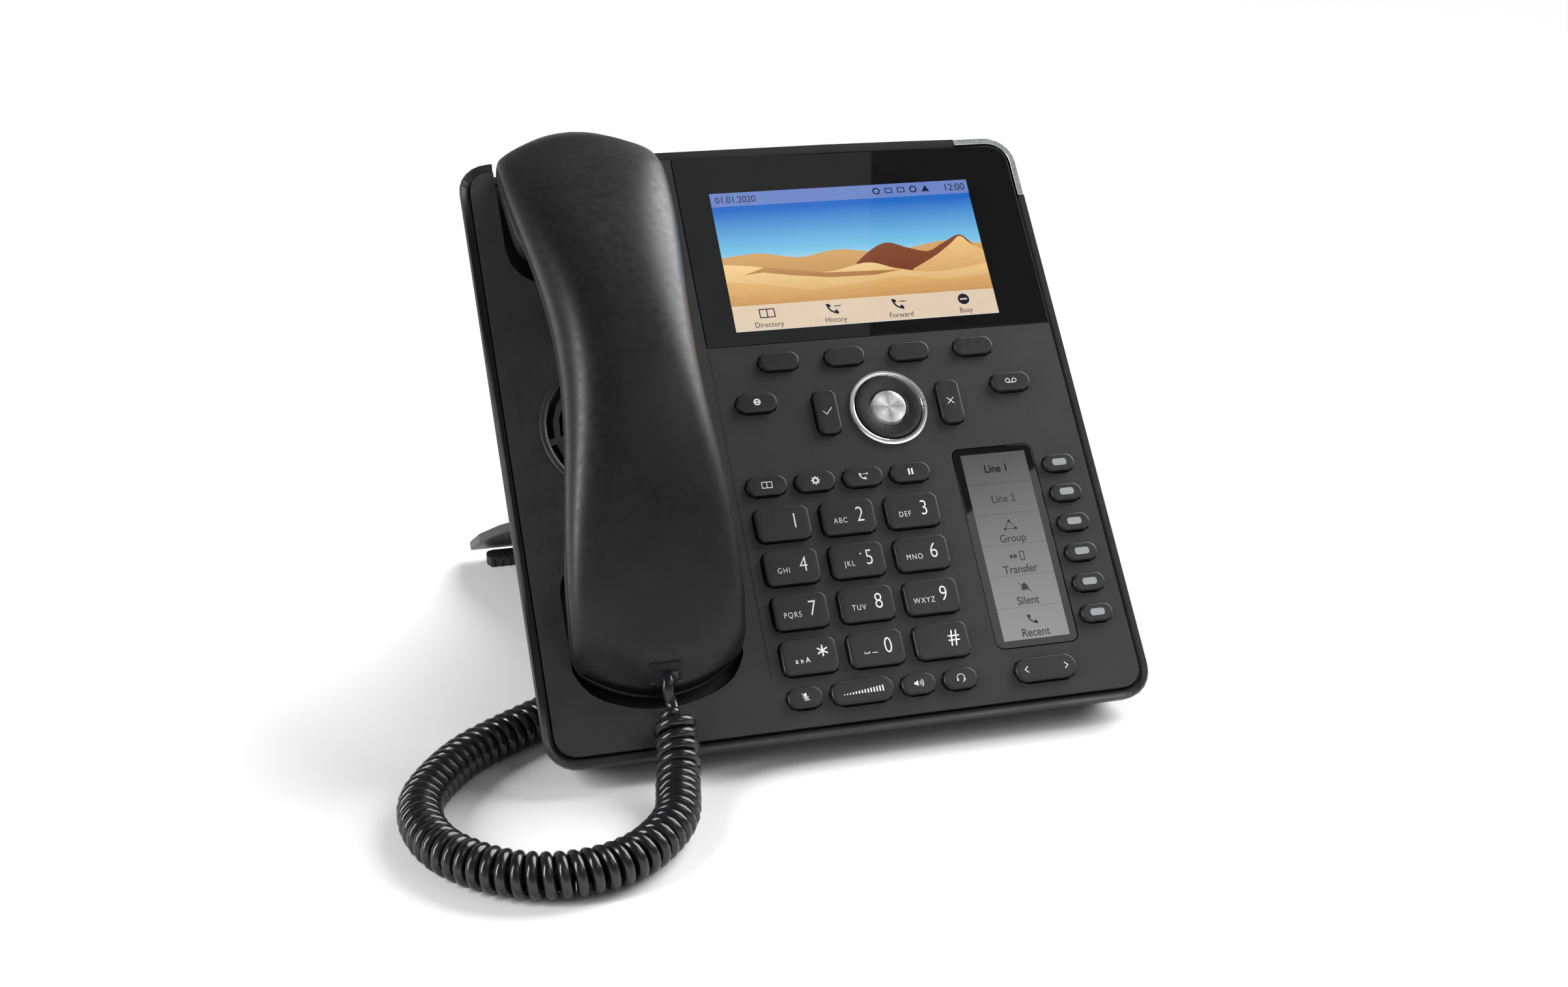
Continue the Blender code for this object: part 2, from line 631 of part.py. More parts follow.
def make_rear_housing():
    heel = table_chamfer(-SHOULDER_DEPTH)
    rings = [
        body_ring(-BODY_DEPTH, SIDE_TAPER, TOP_TAPER, table_chamfer(-BODY_DEPTH), BACK_CORNER),
        body_ring(-SHOULDER_DEPTH, SHOULDER_SIDE, 0, heel, BODY_CORNER),
        body_ring(-RIM_DEPTH, RIM_SIDE, 0, BODY_BOTTOM + RIM_HEEL, BODY_CORNER),
        body_ring(-2 * RIM_BEVEL, 0, 0, BODY_BOTTOM, BODY_CORNER),
        body_ring(0, RIM_BEVEL, RIM_BEVEL, BODY_BOTTOM + RIM_BEVEL, BODY_CORNER),
    ]
    housing = loft("rear_housing", rings, caps=(True, False))
    shell = housing.modifiers.new("wall", "SOLIDIFY")
    shell.thickness = WALL
    shell.offset = -1
    shell.use_even_offset = True
    outside = rounded(HUMP_LEFT, HUMP_RIGHT, HUMP_BOTTOM, HUMP_TOP, HUMP_CORNER, 2)
    hump = [(outside, HUMP_BACK), (outside, -BODY_DEPTH + WALL / 3)]
    hollow = rounded(HUMP_LEFT + HUMP_WALL, HUMP_RIGHT - HUMP_WALL, HUMP_BOTTOM + HUMP_WALL,
                     HUMP_TOP - HUMP_WALL, HUMP_CORNER - HUMP_WALL / 2, 2)
    boolean(housing, "UNION", cutter(loft("hump", hump)))
    boolean(housing, "DIFFERENCE", cutter(flat("hump_hollow", [hollow], HUMP_BACK + HUMP_WALL,
                                               -BODY_DEPTH + WALL + CUT_PAST)))
    window = centred((HUMP_LEFT + HUMP_RIGHT) / 2, HUMP_BOTTOM, JACK_WIDTH + 2 * TOUCH,
                     3 * HUMP_WALL, TOUCH, 1)
    low = HUMP_BACK + HUMP_WALL + TOUCH
    boolean(housing, "DIFFERENCE", cutter(flat("jack_window", [window], low - TOUCH,
                                               low + JACK_H + TOUCH)))
    notch = rectangle(HANDSET_X - POCKET_HALF, HANDSET_X + POCKET_HALF,
                      COVER_TOP - NOTCH_MARGIN, BODY_TOP + NOTCH_MARGIN)
    boolean(housing, "DIFFERENCE", cutter(flat("handset_notch", [notch], POCKET_FLOOR, CUT_PAST)))
    boolean(housing, "DIFFERENCE", cutter(lamp_shape("lamp_seat", TOUCH)))
    return finish(housing, BLACK)


def lamp_shape(name, grow):
    """The strip round the rim's upper right corner, grown by a clearance."""
    r = BODY_CORNER
    right = BODY_RIGHT + (LAMP_CUT if grow else -LAMP_INSET)
    top = BODY_TOP + (LAMP_CUT if grow else -LAMP_TOP_DROP - LAMP_INSET)
    inner_right = BODY_RIGHT - LAMP_W - grow
    inner_top = BODY_TOP - TOP_ARCH - LAMP_W - grow + LAMP_RISE
    outer = arc(right - r, top - r, r, 0, 90, 6)
    inner = arc(inner_right - r + LAMP_W, inner_top - r + LAMP_W, r - LAMP_W, 90, 0, 6)
    left = LAMP_LEFT - grow
    bottom = LAMP_BOTTOM - grow
    outline = ([(right, bottom)] + outer + [(left, top), (left, inner_top)] + inner
               + [(inner_right, bottom)])
    return flat(name, [outline], -LAMP_T - grow, CUT_PAST if grow else -LAMP_INSET)


def make_windows():
    right = COVER_RIGHT
    square = [(GLASS_LEFT, GLASS_BOTTOM), (right, GLASS_BOTTOM)]
    corner = arc(right - GLASS_CORNER, COVER_TOP - TOP_ARCH - GLASS_CORNER, GLASS_CORNER, 0, 90, 4)
    top = COVER_TOP - TOP_ARCH * ((GLASS_LEFT - BODY_X) / (right - BODY_X)) ** 2
    glass = square + corner + [(GLASS_LEFT, top)]
    finish(flat("display_window", [glass], -GLASS_T, 0), GLOSS)
    level = -GLASS_T - TOUCH
    display = centred(0, 0, LCD_W, LCD_H, LCD_CORNER, 1)
    finish(flat("main_display", [display], level - LCD_T, level), SCREEN_BLUE)
    line_glass = centred(LINE_X, LINE_Y, LINE_W, LINE_H, LINE_CORNER, 3)
    finish(flat("line_window", [line_glass], -GLASS_T, 0), GLOSS)
    border = LINE_BORDER + TOUCH
    line_lcd = centred(LINE_X, LINE_Y, LINE_W - 2 * border, LINE_H - 2 * border, LCD_CORNER, 1)
    finish(flat("line_display", [line_lcd], level - LINE_LCD_T, level), LCD_GREY)
    finish(lamp_shape("status_lamp_lens", 0), LAMP_WHITE)


def make_navigation():
    lip = TRIM_R - TRIM_LIP
    shoulder = TRIM_PROUD - TRIM_EDGE
    trim = [(TRIM_R, shoulder), (TRIM_R, TOUCH), (lip, TOUCH), (lip, -COVER_T),
            (TRIM_BORE, -COVER_T), (TRIM_BORE, shoulder), (TRIM_BORE + TURNED_EDGE, TRIM_PROUD),
            (TRIM_R - TURNED_EDGE, TRIM_PROUD)]
    finish(turned("nav_trim_ring", trim, NAV_X, NAV_Y), STEEL)
    outer = TRIM_BORE - NAV_GAP
    top = KEY_PROUD - TURNED_EDGE
    low = -COVER_T - NAV_BELOW_COVER
    ring = [(outer - TURNED_EDGE, top), (outer, top - TURNED_EDGE), (outer, low), (NAV_HOLE, low),
            (NAV_HOLE, top - NAV_DISH_DROP), (NAV_HOLE + NAV_DISH, top - NAV_DISH_RIM)]
    finish(turned("nav_ring", ring, NAV_X, NAV_Y), KEY_BLACK)
    seat = low - FULCRUM_GAP
    fulcrum = [(FULCRUM_R, seat), (FULCRUM_R, seat - FULCRUM_T), (NAV_HOLE, seat - FULCRUM_T),
               (NAV_HOLE, seat)]
    finish(turned("nav_fulcrum", fulcrum, NAV_X, NAV_Y, 24), STEEL)
    button = [(0, top), (OK_R - TURNED_EDGE, top), (OK_R, top - TURNED_EDGE), (OK_R, KEY_BOTTOM),
              (0, KEY_BOTTOM)]
    finish(turned("ok_button", button, NAV_X, NAV_Y), STEEL)


def make_boards():
    left = GLASS_LEFT + BOARD_MARGIN
    right = COVER_RIGHT - BOARD_SIDE
    bottom = COVER_BOTTOM + BOARD_MARGIN
    mat = rounded(left, right, bottom, GLASS_BOTTOM - MAT_CLEAR, BOARD_CORNER, 1)
    slot = centred(LINE_X, LINE_Y, LINE_W + MAT_CLEAR, LINE_H + MAT_CLEAR, SEAT_CORNER, 1)
    finish(flat("keypad_mat", [mat, slot], MAT_TOP - MAT_T, MAT_TOP), SILICONE)
    board = rounded(left, right, bottom, COVER_TOP - BOARD_TOP_MARGIN, BOARD_CORNER, 1)
    finish(flat("main_board", [board], BOARD_TOP - BOARD_T, BOARD_TOP), BOARD_GREEN)


def make_loudspeaker():
    top = -COVER_T - TOUCH
    back = top - SPEAKER_DEPTH
    cone = [(0, top - CAP_DIP), (CAP_R, top - CONE_DIP), (SPEAKER_R - SURROUND, top),
            (SPEAKER_R, top), (SPEAKER_R, top - SPEAKER_RIM), (MAGNET_R, top - BASKET_DEPTH),
            (MAGNET_R, back), (0, back)]
    finish(turned("loudspeaker", cone, SPEAKER_X, SPEAKER_Y, 24), CONE_BLACK)


def make_jacks():
    middle = (HUMP_LEFT + HUMP_RIGHT) / 2
    low = HUMP_BACK + HUMP_WALL + TOUCH
    block = rectangle(middle - JACK_WIDTH / 2, middle + JACK_WIDTH / 2,
                      HUMP_BOTTOM + TOUCH, HUMP_BOTTOM + JACK_DEPTH)
    jacks = flat("jack_block", [block], low, low + JACK_H)
    level = low + JACK_H / 2
    for name, x, width, height in jack_plan():
        outline = rectangle(x - width / 2, x + width / 2,
                            HUMP_BOTTOM - SOCKET_DEEP, HUMP_BOTTOM + SOCKET_DEEP)
        tool = flat(name, [outline], level - height / 2, level + height / 2)
        boolean(jacks, "DIFFERENCE", cutter(tool))
    finish(jacks, JACK_BLACK)


def jack_plan():
    """Sockets along the step, as (name, x, width, height)."""
    return [("handset_socket", HANDSET_JACK_X, SMALL_SOCKET_W, SMALL_SOCKET_H),
            ("headset_socket", HEADSET_JACK_X, SMALL_SOCKET_W, SMALL_SOCKET_H),
            ("line_socket", LINE_JACK_X, SOCKET_W, SOCKET_H),
            ("computer_socket", COMPUTER_JACK_X, SOCKET_W, SOCKET_H),
            ("power_socket", POWER_JACK_X, POWER_SOCKET, POWER_SOCKET)]


def handset_rows():
    """Rows along the handset as (side y, bow of the row, half width, top level, seam level)."""
    def top(y):
        return HANDSET_RISE - HANDSET_ARCH * (y - HANDSET_MID) ** 2

    def seam(y):
        return SEAM_RISE - SEAM_ARCH * (y - HANDSET_MID) ** 2

    low = HANDSET_LOW
    high = HANDSET_HIGH
    crease = low + 7 * MM
    full = handset_half(crease)
    tip = seam(low - 6 * MM)
    lip = (top(low + 3 * MM) + tip) / 2
    rows = [(low, -9 * MM, full - 3 * MM, tip, tip),
            (low + 2.6 * MM, -6.8 * MM, full - 0.9 * MM, lip, seam(low - 3 * MM)),
            (crease, -3.7 * MM, full, top(low + 5 * MM), seam(low + 3 * MM))]
    count = 16
    start = low + 16 * MM
    stop = high - 10.6 * MM
    for i in range(count):
        y = start + (stop - start) * i / (count - 1)
        rows.append((y, 0.0, handset_half(y), top(y), seam(y)))
    brow = high - 2.6 * MM
    crown = high + 1.4 * MM
    end = seam(high + 5.4 * MM)
    rows += [(high - 4.6 * MM, 4 * MM, full - 0.3 * MM, top(brow) - 0.8 * MM, seam(brow)),
             (high - 1.2 * MM, 7.4 * MM, full - 1.4 * MM, top(crown) - 3.4 * MM,
              seam(crown + 1 * MM)),
             (high, 8.6 * MM, full - 3.4 * MM, end, end)]
    return rows


def smooth(value, start, end):
    t = min(max((value - start) / (end - start), 0.0), 1.0)
    return t * t * (3 - 2 * t)


def handset_bottom(y, seam):
    """Level of the handset's underside: a high handle between two cups."""
    handle = seam - HANDLE_DEPTH
    ear_step = POCKET_TOP_END + 1 * MM
    mouth_step = POCKET_LOW_START - 1 * MM
    ear = smooth(y, ear_step, ear_step + CUP_RAMP)
    mouth = smooth(y, mouth_step, mouth_step - CUP_RAMP)
    cup = max(ear, mouth)
    return handle + (CUP_FLOOR - handle) * cup


def section(row, sign, steps=10):
    """Half a section across the handset, from its left seam over the top or under the bottom."""
    y, bow, half, top, seam = row
    if sign > 0:
        reach = top - seam
        level = seam + TOUCH / 2
    else:
        reach = seam - handset_bottom(y, seam)
        level = seam - TOUCH / 2
        if top - seam < 0.1 * MM:
            reach = 0.0
    points = []
    for i in range(steps + 1):
        t = math.pi * i / steps
        power = 2 / 3.0
        across = -math.copysign(abs(math.cos(t)) ** power, math.cos(t))
        rise = abs(math.sin(t)) ** power
        x = half * across
        points.append((HANDSET_X + x, y + bow * (1 - across * across), level + sign * reach * rise))
    return points


def make_handset():
    sides = (("handset_outer", 1), ("handset_inner", -1))
    for name, sign in sides:
        shape = bmesh.new()
        rows = [section(row, sign) for row in handset_rows()]
        skin(shape, rows, closed=False)
        if sign > 0:
            bmesh.ops.reverse_faces(shape, faces=shape.faces)
        bmesh.ops.remove_doubles(shape, verts=shape.verts, dist=1e-6)
        data = bpy.data.meshes.new(name)
        shape.to_mesh(data)
        shape.free()
        shell = part_object(name, data)
        wall = shell.modifiers.new("wall", "SOLIDIFY")
        wall.thickness = HANDSET_WALL
        wall.offset = -1
        finish(shell, BLACK)
    socket = plug_box("handset_socket_cut", PLUG_W + SOCKET_SPACE_W, PLUG_H + SOCKET_SPACE_H,
                      SOCKET_CUT)
    boolean(bpy.data.objects["handset_outer"], "DIFFERENCE", cutter(socket))
    low = CUP_FLOOR + HANDSET_WALL + RECEIVER_LIFT
    receiver = [(0, low + RECEIVER_T), (RECEIVER_R, low + RECEIVER_T), (RECEIVER_R, low), (0, low)]
    finish(turned("receiver", receiver, HANDSET_X, RECEIVER_Y, 24), RECEIVER_GREY)


def plug_box(name, width, height, length, sunk=0.0):
    """A box along the socket's axis, square to the handset's end face, sunk into it."""
    shape = bmesh.new()
    bmesh.ops.create_cube(shape, size=1.0)
    bmesh.ops.scale(shape, vec=(width, length, height), verts=shape.verts)
    place = (Matrix.Translation((HANDSET_X, SOCKET_Y, SOCKET_LEVEL))
             @ Matrix.Rotation(-(math.pi / 2 - END_FACE), 4, "X")
             @ Matrix.Translation((0, sunk, 0)))
    bmesh.ops.transform(shape, matrix=place, verts=shape.verts)
    data = bpy.data.meshes.new(name)
    shape.to_mesh(data)
    shape.free()
    return part_object(name, data)


def on_table(y, level):
    """A point of the face frame as (distance behind the display's centre, height)."""
    return y * COS - level * SIN, y * SIN + level * COS + TABLE_DROP


def stand_profile():
    """The plate's middle line from its tongue on the back, round the bend, to its foot."""
    level = -BODY_DEPTH - TOUCH - STAND_T / 2
    tongue = [on_table(STAND_BEND_Y + STAND_TONGUE, level), on_table(STAND_BEND_Y, level)]
    bend_f, bend_z = on_table(STAND_BEND_Y, level - STAND_BEND_R)
    leg = math.atan2(STAND_FOOT_Z - bend_z, STAND_FOOT_F - bend_f)
    bend = []
    steps = 6
    first = math.pi / 2 + TILT
    last = leg - math.pi / 2 + 2 * math.pi
    for i in range(1, steps + 1):
        angle = first + (last - first) * i / steps
        bend.append((bend_f + STAND_BEND_R * math.cos(angle), bend_z + STAND_BEND_R * math.sin(angle)))
    start_f, start_z = bend[-1]
    line = []
    count = 8
    for i in range(1, count + 1):
        t = i / count
        line.append((start_f + (STAND_FOOT_F - start_f) * t,
                     start_z + (STAND_FOOT_Z - start_z) * t + STAND_BOW * math.sin(math.pi * t)))
    return tongue + bend + line


def make_stand():
    """A bowed plate from the back of the body to the table, wider at its foot."""
    profile = stand_profile()
    across = 6
    rows = []
    for f, z in profile:
        spread = smooth(f, STAND_SPREAD_F, STAND_FOOT_F)
        half = STAND_TOP_HALF + (STAND_FOOT_HALF - STAND_TOP_HALF) * spread
        rows.append([(BODY_X - half + 2 * half * j / across, f, z) for j in range(across + 1)])
    shape = bmesh.new()
    skin(shape, rows, closed=False)
    data = bpy.data.meshes.new("foot_stand")
    shape.to_mesh(data)
    shape.free()
    stand = part_object("foot_stand", data)
    plate = stand.modifiers.new("plate", "SOLIDIFY")
    plate.thickness = STAND_T
    plate.offset = 0
    finish(stand, BLACK, TABLE)
    pad = centred(BODY_X, PAD_F, PAD_LENGTH, PAD_W, PAD_CORNER, 2)
    finish(flat("stand_pad", [pad], 0, PAD_T), RUBBER, TABLE)


def smooth_path(points, spacing):
    """Points at an even spacing on a smooth curve through the given ones."""
    knots = [Vector(p) for p in points]
    fine = []
    for i in range(len(knots) - 1):
        before = knots[max(i - 1, 0)]
        a = knots[i]
        b = knots[i + 1]
        after = knots[min(i + 2, len(knots) - 1)]
        for k in range(20):
            t = k / 20
            t2 = t * t
            t3 = t2 * t
            fine.append(0.5 * ((2 * a) + (b - before) * t + (2 * before - 5 * a + 4 * b - after) * t2
                               + (3 * a - before - 3 * b + after) * t3))
    fine.append(knots[-1])
    lengths = [0.0]
    for p, q in zip(fine, fine[1:]):
        lengths.append(lengths[-1] + (q - p).length)
    count = max(2, round(lengths[-1] / spacing))
    result = []
    index = 0
    for k in range(count + 1):
        target = lengths[-1] * k / count
        while index < len(lengths) - 2 and lengths[index + 1] < target:
            index += 1
        span = lengths[index + 1] - lengths[index]
        mix = (target - lengths[index]) / span if span else 0
        result.append(fine[index].lerp(fine[index + 1], mix))
    return result


def tube(name, points, diameter, spacing, colour, resolution=2):
    curve = bpy.data.curves.new(name, "CURVE")
    curve.dimensions = "3D"
    curve.bevel_depth = diameter / 2
    curve.bevel_resolution = resolution
    curve.use_fill_caps = True
    path = smooth_path(points, spacing)
    spline = curve.splines.new("POLY")
    spline.points.add(len(path) - 1)
    for point, p in zip(spline.points, path):
        point.co = (*p, 1)
    return finish(part_object(name, curve), colour, TABLE)


# The cord's route in table coordinates: x across the face, distance behind the display's
# centre, and height, all in millimetres
HANDSET_LEAD = [(-93.4, -104.8, 32.6), (-93.5, -107.6, 32.3), (-93.9, -110.0, 31.0),
                (-94.0, -110.8, 28.4), (-93.3, -111.5, 25.8), (-93.0, -113.0, 24.1)]
COIL_ROUTE = [(-93.0, -113.3, 23.8), (-93.5, -117.5, 19.0), (-94.0, -123.5, 13.5),
              (-96.5, -133.5, 8.0), (-100.5, -148.0, 7.1), (-109.0, -160.5, 7.1),
              (-119.0, -168.5, 7.1), (-131.0, -172.0, 7.1), (-143.5, -171.0, 7.1),
              (-154.5, -166.0, 7.1), (-163.5, -157.5, 7.1), (-170.0, -147.0, 7.1),
              (-173.0, -133.5, 7.1), (-171.5, -120.0, 7.1), (-165.0, -107.5, 7.1),
              (-156.0, -96.0, 7.1), (-146.5, -88.0, 7.1), (-130.0, -77.0, 7.1),
              (-112.0, -66.5, 7.1), (-102.0, -61.5, 7.1)]
BASE_LEAD = [(-101.6, -61.3, 7.1), (-96.5, -59.0, 7.5), (-92.5, -56.0, 10.5),
             (-91.0, -52.0, 17.0), (-90.5, -45.5, 27.0), (-89.5, -38.0, 38.0),
             (-87.0, -29.5, 49.5), (-83.0, -20.5, 61.0), (-78.5, -13.5, 69.5),
             (-77.0, -9.8, 73.2)]


def make_cord():
    def metres(route):
        return [Vector(p) * MM for p in route]
    tube("handset_lead", metres(HANDSET_LEAD), WIRE, 3 * MM, GLOSS)
    tube("coil_cord", metres(COIL_ROUTE), COIL, 9 * MM, GLOSS, 3)
    tube("base_lead", metres(BASE_LEAD), WIRE, 7 * MM, GLOSS)
    finish(plug_box("handset_plug", PLUG_W, PLUG_H, PLUG_LENGTH, PLUG_LENGTH / 2), GLOSS)
    level = HUMP_BACK + HUMP_WALL + TOUCH + JACK_H / 2
    x = jack_plan()[0][1]
    plug = centred(x, HUMP_BOTTOM + 1 * MM, PLUG_W, PLUG_LENGTH, 0.3 * MM, 1)
    finish(flat("base_plug", [plug], level - PLUG_H / 2, level + PLUG_H / 2), GLOSS)


def main():
    make_front_cover()
    make_rear_housing()
    make_windows()
    for plan in key_plan():
        key(*plan)
    make_navigation()
    make_boards()
    make_loudspeaker()
    make_jacks()
    make_handset()
    make_stand()
    make_cord()


main()
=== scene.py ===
import json
import math

import bmesh
import bpy
from mathutils import Matrix, Vector


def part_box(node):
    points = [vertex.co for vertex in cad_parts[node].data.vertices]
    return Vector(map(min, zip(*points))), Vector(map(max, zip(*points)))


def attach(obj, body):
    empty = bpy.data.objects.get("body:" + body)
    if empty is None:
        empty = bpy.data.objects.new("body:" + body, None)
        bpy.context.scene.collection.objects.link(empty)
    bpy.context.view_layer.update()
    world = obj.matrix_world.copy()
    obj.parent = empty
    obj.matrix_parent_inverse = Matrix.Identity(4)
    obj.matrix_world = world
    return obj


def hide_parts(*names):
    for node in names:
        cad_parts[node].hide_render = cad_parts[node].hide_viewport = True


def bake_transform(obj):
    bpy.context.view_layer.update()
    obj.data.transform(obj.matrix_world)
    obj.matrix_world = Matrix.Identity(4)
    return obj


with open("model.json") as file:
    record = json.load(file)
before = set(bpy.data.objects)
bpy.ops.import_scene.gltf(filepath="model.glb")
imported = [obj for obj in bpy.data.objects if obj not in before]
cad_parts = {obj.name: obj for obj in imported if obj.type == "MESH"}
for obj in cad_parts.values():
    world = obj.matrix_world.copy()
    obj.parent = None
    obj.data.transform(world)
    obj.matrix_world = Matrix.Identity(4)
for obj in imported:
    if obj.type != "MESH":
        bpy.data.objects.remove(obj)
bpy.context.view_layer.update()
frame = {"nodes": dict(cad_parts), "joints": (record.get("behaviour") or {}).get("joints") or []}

MM = 0.001

# --- The face frame ---
# x runs to the right, y up the face and w out of it, from the colour display's centre

PRESS = next(j["axis"] for j in frame["joints"] if j["name"] == "ok_button_press")
TILT = math.atan2(PRESS[1], -PRESS[2])
TURN = Matrix.Rotation(TILT, 4, "X")


def turned_box(node, matrix):
    """Lowest and highest corner of a CAD node in another frame."""
    points = [matrix @ v.co for v in frame["nodes"][node].data.vertices]
    low = Vector([min(p[i] for p in points) for i in range(3)])
    high = Vector([max(p[i] for p in points) for i in range(3)])
    return low, high


screen_low, screen_high = turned_box("main_display", TURN.inverted())
face_level = turned_box("display_window", TURN.inverted())[1].z
screen_centre = (screen_low + screen_high) / 2
FACE = TURN @ Matrix.Translation((screen_centre.x, screen_centre.y, face_level))


def face_box(node):
    return turned_box(node, FACE.inverted())


def put(name, data):
    """Links a new object into the scene."""
    obj = bpy.data.objects.new(name, data)
    bpy.context.scene.collection.objects.link(obj)
    return obj


def face_place(node):
    """Centre x and y, width, height and top level of a CAD node, in the face frame."""
    low, high = face_box(node)
    return (low.x + high.x) / 2, (low.y + high.y) / 2, high.x - low.x, high.y - low.y, high.z


# --- Materials ---

NOISE_LOW = 0.3
NOISE_HIGH = 0.7
# Painted highlight wedges and a painted glow for the spun button's sheen
SPUN_HIGHLIGHT_WEDGES = [0.45, 0.9, 0.4, 1.0, 0.5, 0.85, 0.4, 1.0, 0.45]
SPUN_RING_SCALE = 900.0
SPUN_PAINTED_GLOW = 0.3
# A painted glow that brightens the legend ink
INK_PAINTED_GLOW = 0.14
BLACK = (0.0, 0.0, 0.0)


class Shader:
    """A Principled material with a few helpers for its noise, colour and bump nodes."""

    def __init__(self, name, colour, roughness, metallic=0.0):
        self.material = bpy.data.materials.new(name)
        self.material.use_nodes = True
        self.nodes = self.material.node_tree.nodes
        self.links = self.material.node_tree.links
        self.main = self.nodes["Principled BSDF"]
        self.set("Base Color", (*colour, 1.0))
        self.set("Roughness", roughness)
        self.set("Metallic", metallic)
        self.where = self.nodes.new("ShaderNodeTexCoord").outputs["Object"]
        self.height = None

    def set(self, socket, value):
        self.main.inputs[socket].default_value = value

    def feed(self, value, socket="Base Color"):
        self.links.new(value, self.main.inputs[socket])

    def noise(self, scale, detail=3.0, stretch=None):
        source = self.where
        if stretch:
            mapping = self.nodes.new("ShaderNodeMapping")
            mapping.inputs["Scale"].default_value = stretch
            self.links.new(self.where, mapping.inputs["Vector"])
            source = mapping.outputs["Vector"]
        node = self.nodes.new("ShaderNodeTexNoise")
        node.inputs["Scale"].default_value = scale
        node.inputs["Detail"].default_value = detail
        self.links.new(source, node.inputs["Vector"])
        return node.outputs["Fac"]

    def ramp(self, value, stops):
        node = self.nodes.new("ShaderNodeValToRGB")
        elements = node.color_ramp.elements
        while len(elements) < len(stops):
            elements.new(0.5)
        for element, (place, colour) in zip(elements, stops):
            element.position = place
            element.color = (*colour, 1.0)
        self.links.new(value, node.inputs["Fac"])
        return node.outputs["Color"]

    def spread(self, value, low, high, socket):
        """Maps the middle of a noise's range into another range and feeds it to a socket."""
        node = self.nodes.new("ShaderNodeMapRange")
        node.inputs["From Min"].default_value = NOISE_LOW
        node.inputs["From Max"].default_value = NOISE_HIGH
        node.inputs["To Min"].default_value = low
        node.inputs["To Max"].default_value = high
        self.links.new(value, node.inputs["Value"])
        self.feed(node.outputs["Result"], socket)

    def bump(self, value, strength, distance):
        node = self.nodes.new("ShaderNodeBump")
        node.inputs["Strength"].default_value = strength
        node.inputs["Distance"].default_value = distance
        self.links.new(value, node.inputs["Height"])
        if self.height:
            self.links.new(self.height, node.inputs["Normal"])
        self.height = node.outputs["Normal"]
        self.feed(self.height, "Normal")


def moulded(name, dark, light, roughness, grain=2600.0, depth=0.00004, strength=0.35,
            specular=0.5):
    """Moulded plastic: a fine spark-eroded grain, and slow changes of tone and gloss."""
    shade = Shader(name, dark, roughness)
    shade.feed(shade.ramp(shade.noise(90.0, 5.0), [(NOISE_LOW, dark), (NOISE_HIGH, light)]))
    shade.spread(shade.noise(420.0, 4.0), roughness - 0.05, roughness + 0.06, "Roughness")
    shade.bump(shade.noise(grain, 2.0), strength, depth)
    shade.set("Specular IOR Level", specular)
    return shade.material


def glossy(name, dark, light, roughness, wave=40.0, strength=0.05):
    """Polished plastic or a cord's jacket: slight waviness, and slow changes of tone and gloss."""
    shade = Shader(name, dark, roughness)
    shade.feed(shade.ramp(shade.noise(70.0), [(0.35, dark), (0.65, light)]))
    shade.spread(shade.noise(350.0, 4.0), roughness * 0.8, roughness * 1.3, "Roughness")
    shade.bump(shade.noise(wave, 2.0), strength, 0.0002)
    return shade.material


def dimmed(tone, share):
    return tuple(c * share for c in tone)


def metal(name, tone, roughness, rings_at=None):
    """Satin metal, or metal spun round a place: fine rings as bumps, and for spun metal painted
    highlights, wedges of light and dark in its colour and as a painted glow.
    """
    shade = Shader(name, tone, roughness, 1.0)
    shade.feed(shade.ramp(shade.noise(900.0, 4.0), [(0.35, dimmed(tone, 0.86)), (0.65, tone)]))
    shade.spread(shade.noise(1500.0), roughness * 0.8, roughness * 1.3, "Roughness")
    if rings_at is not None:
        move = shade.nodes.new("ShaderNodeMapping")
        move.vector_type = "POINT"
        move.inputs["Location"].default_value = rings_at
        shade.links.new(shade.where, move.inputs["Vector"])
        wave = shade.nodes.new("ShaderNodeTexWave")
        wave.wave_type = "RINGS"
        wave.rings_direction = "SPHERICAL"
        wave.inputs["Scale"].default_value = SPUN_RING_SCALE
        wave.inputs["Distortion"].default_value = 0.5
        shade.links.new(move.outputs["Vector"], wave.inputs["Vector"])
        shade.bump(wave.outputs["Fac"], 0.35, 0.00004)
        # Painted highlights: wedges of light and dark round the centre, fed to the colour and to a
        # glow
        sweep = shade.nodes.new("ShaderNodeTexGradient")
        sweep.gradient_type = "RADIAL"
        shade.links.new(move.outputs["Vector"], sweep.inputs["Vector"])
        last = len(SPUN_HIGHLIGHT_WEDGES) - 1
        painted_highlights = shade.ramp(sweep.outputs["Fac"], [(k / last, dimmed(tone, share))
                                                   for k, share in enumerate(SPUN_HIGHLIGHT_WEDGES)])
        shade.feed(painted_highlights)
        shade.feed(painted_highlights, "Emission Color")
        shade.set("Emission Strength", SPUN_PAINTED_GLOW)
    return shade.material


def printed(name, tone, glow=0.0):
    """Ink printed on plastic, slightly uneven in coverage; glow adds a painted glow that makes the
    ink brighter than its light does.
    """
    shade = Shader(name, tone, 0.5)
    shade.feed(shade.ramp(shade.noise(2500.0), [(0.3, dimmed(tone, 0.8)), (0.6, tone)]))
    if glow:
        shade.set("Emission Color", (1, 1, 1, 1))
        shade.set("Emission Strength", glow)
    return shade.material


def lit(name, tone, strength, gloss=0.03, variation=0.04):
    """A lit patch of a display behind its polished window."""
    shade = Shader(name, BLACK, gloss)
    shade.feed(shade.ramp(shade.noise(300.0), [(NOISE_LOW, dimmed(tone, 1 - variation)),
                                               (NOISE_HIGH, tone)]), "Emission Color")
    shade.set("Emission Strength", strength)
    return shade.material


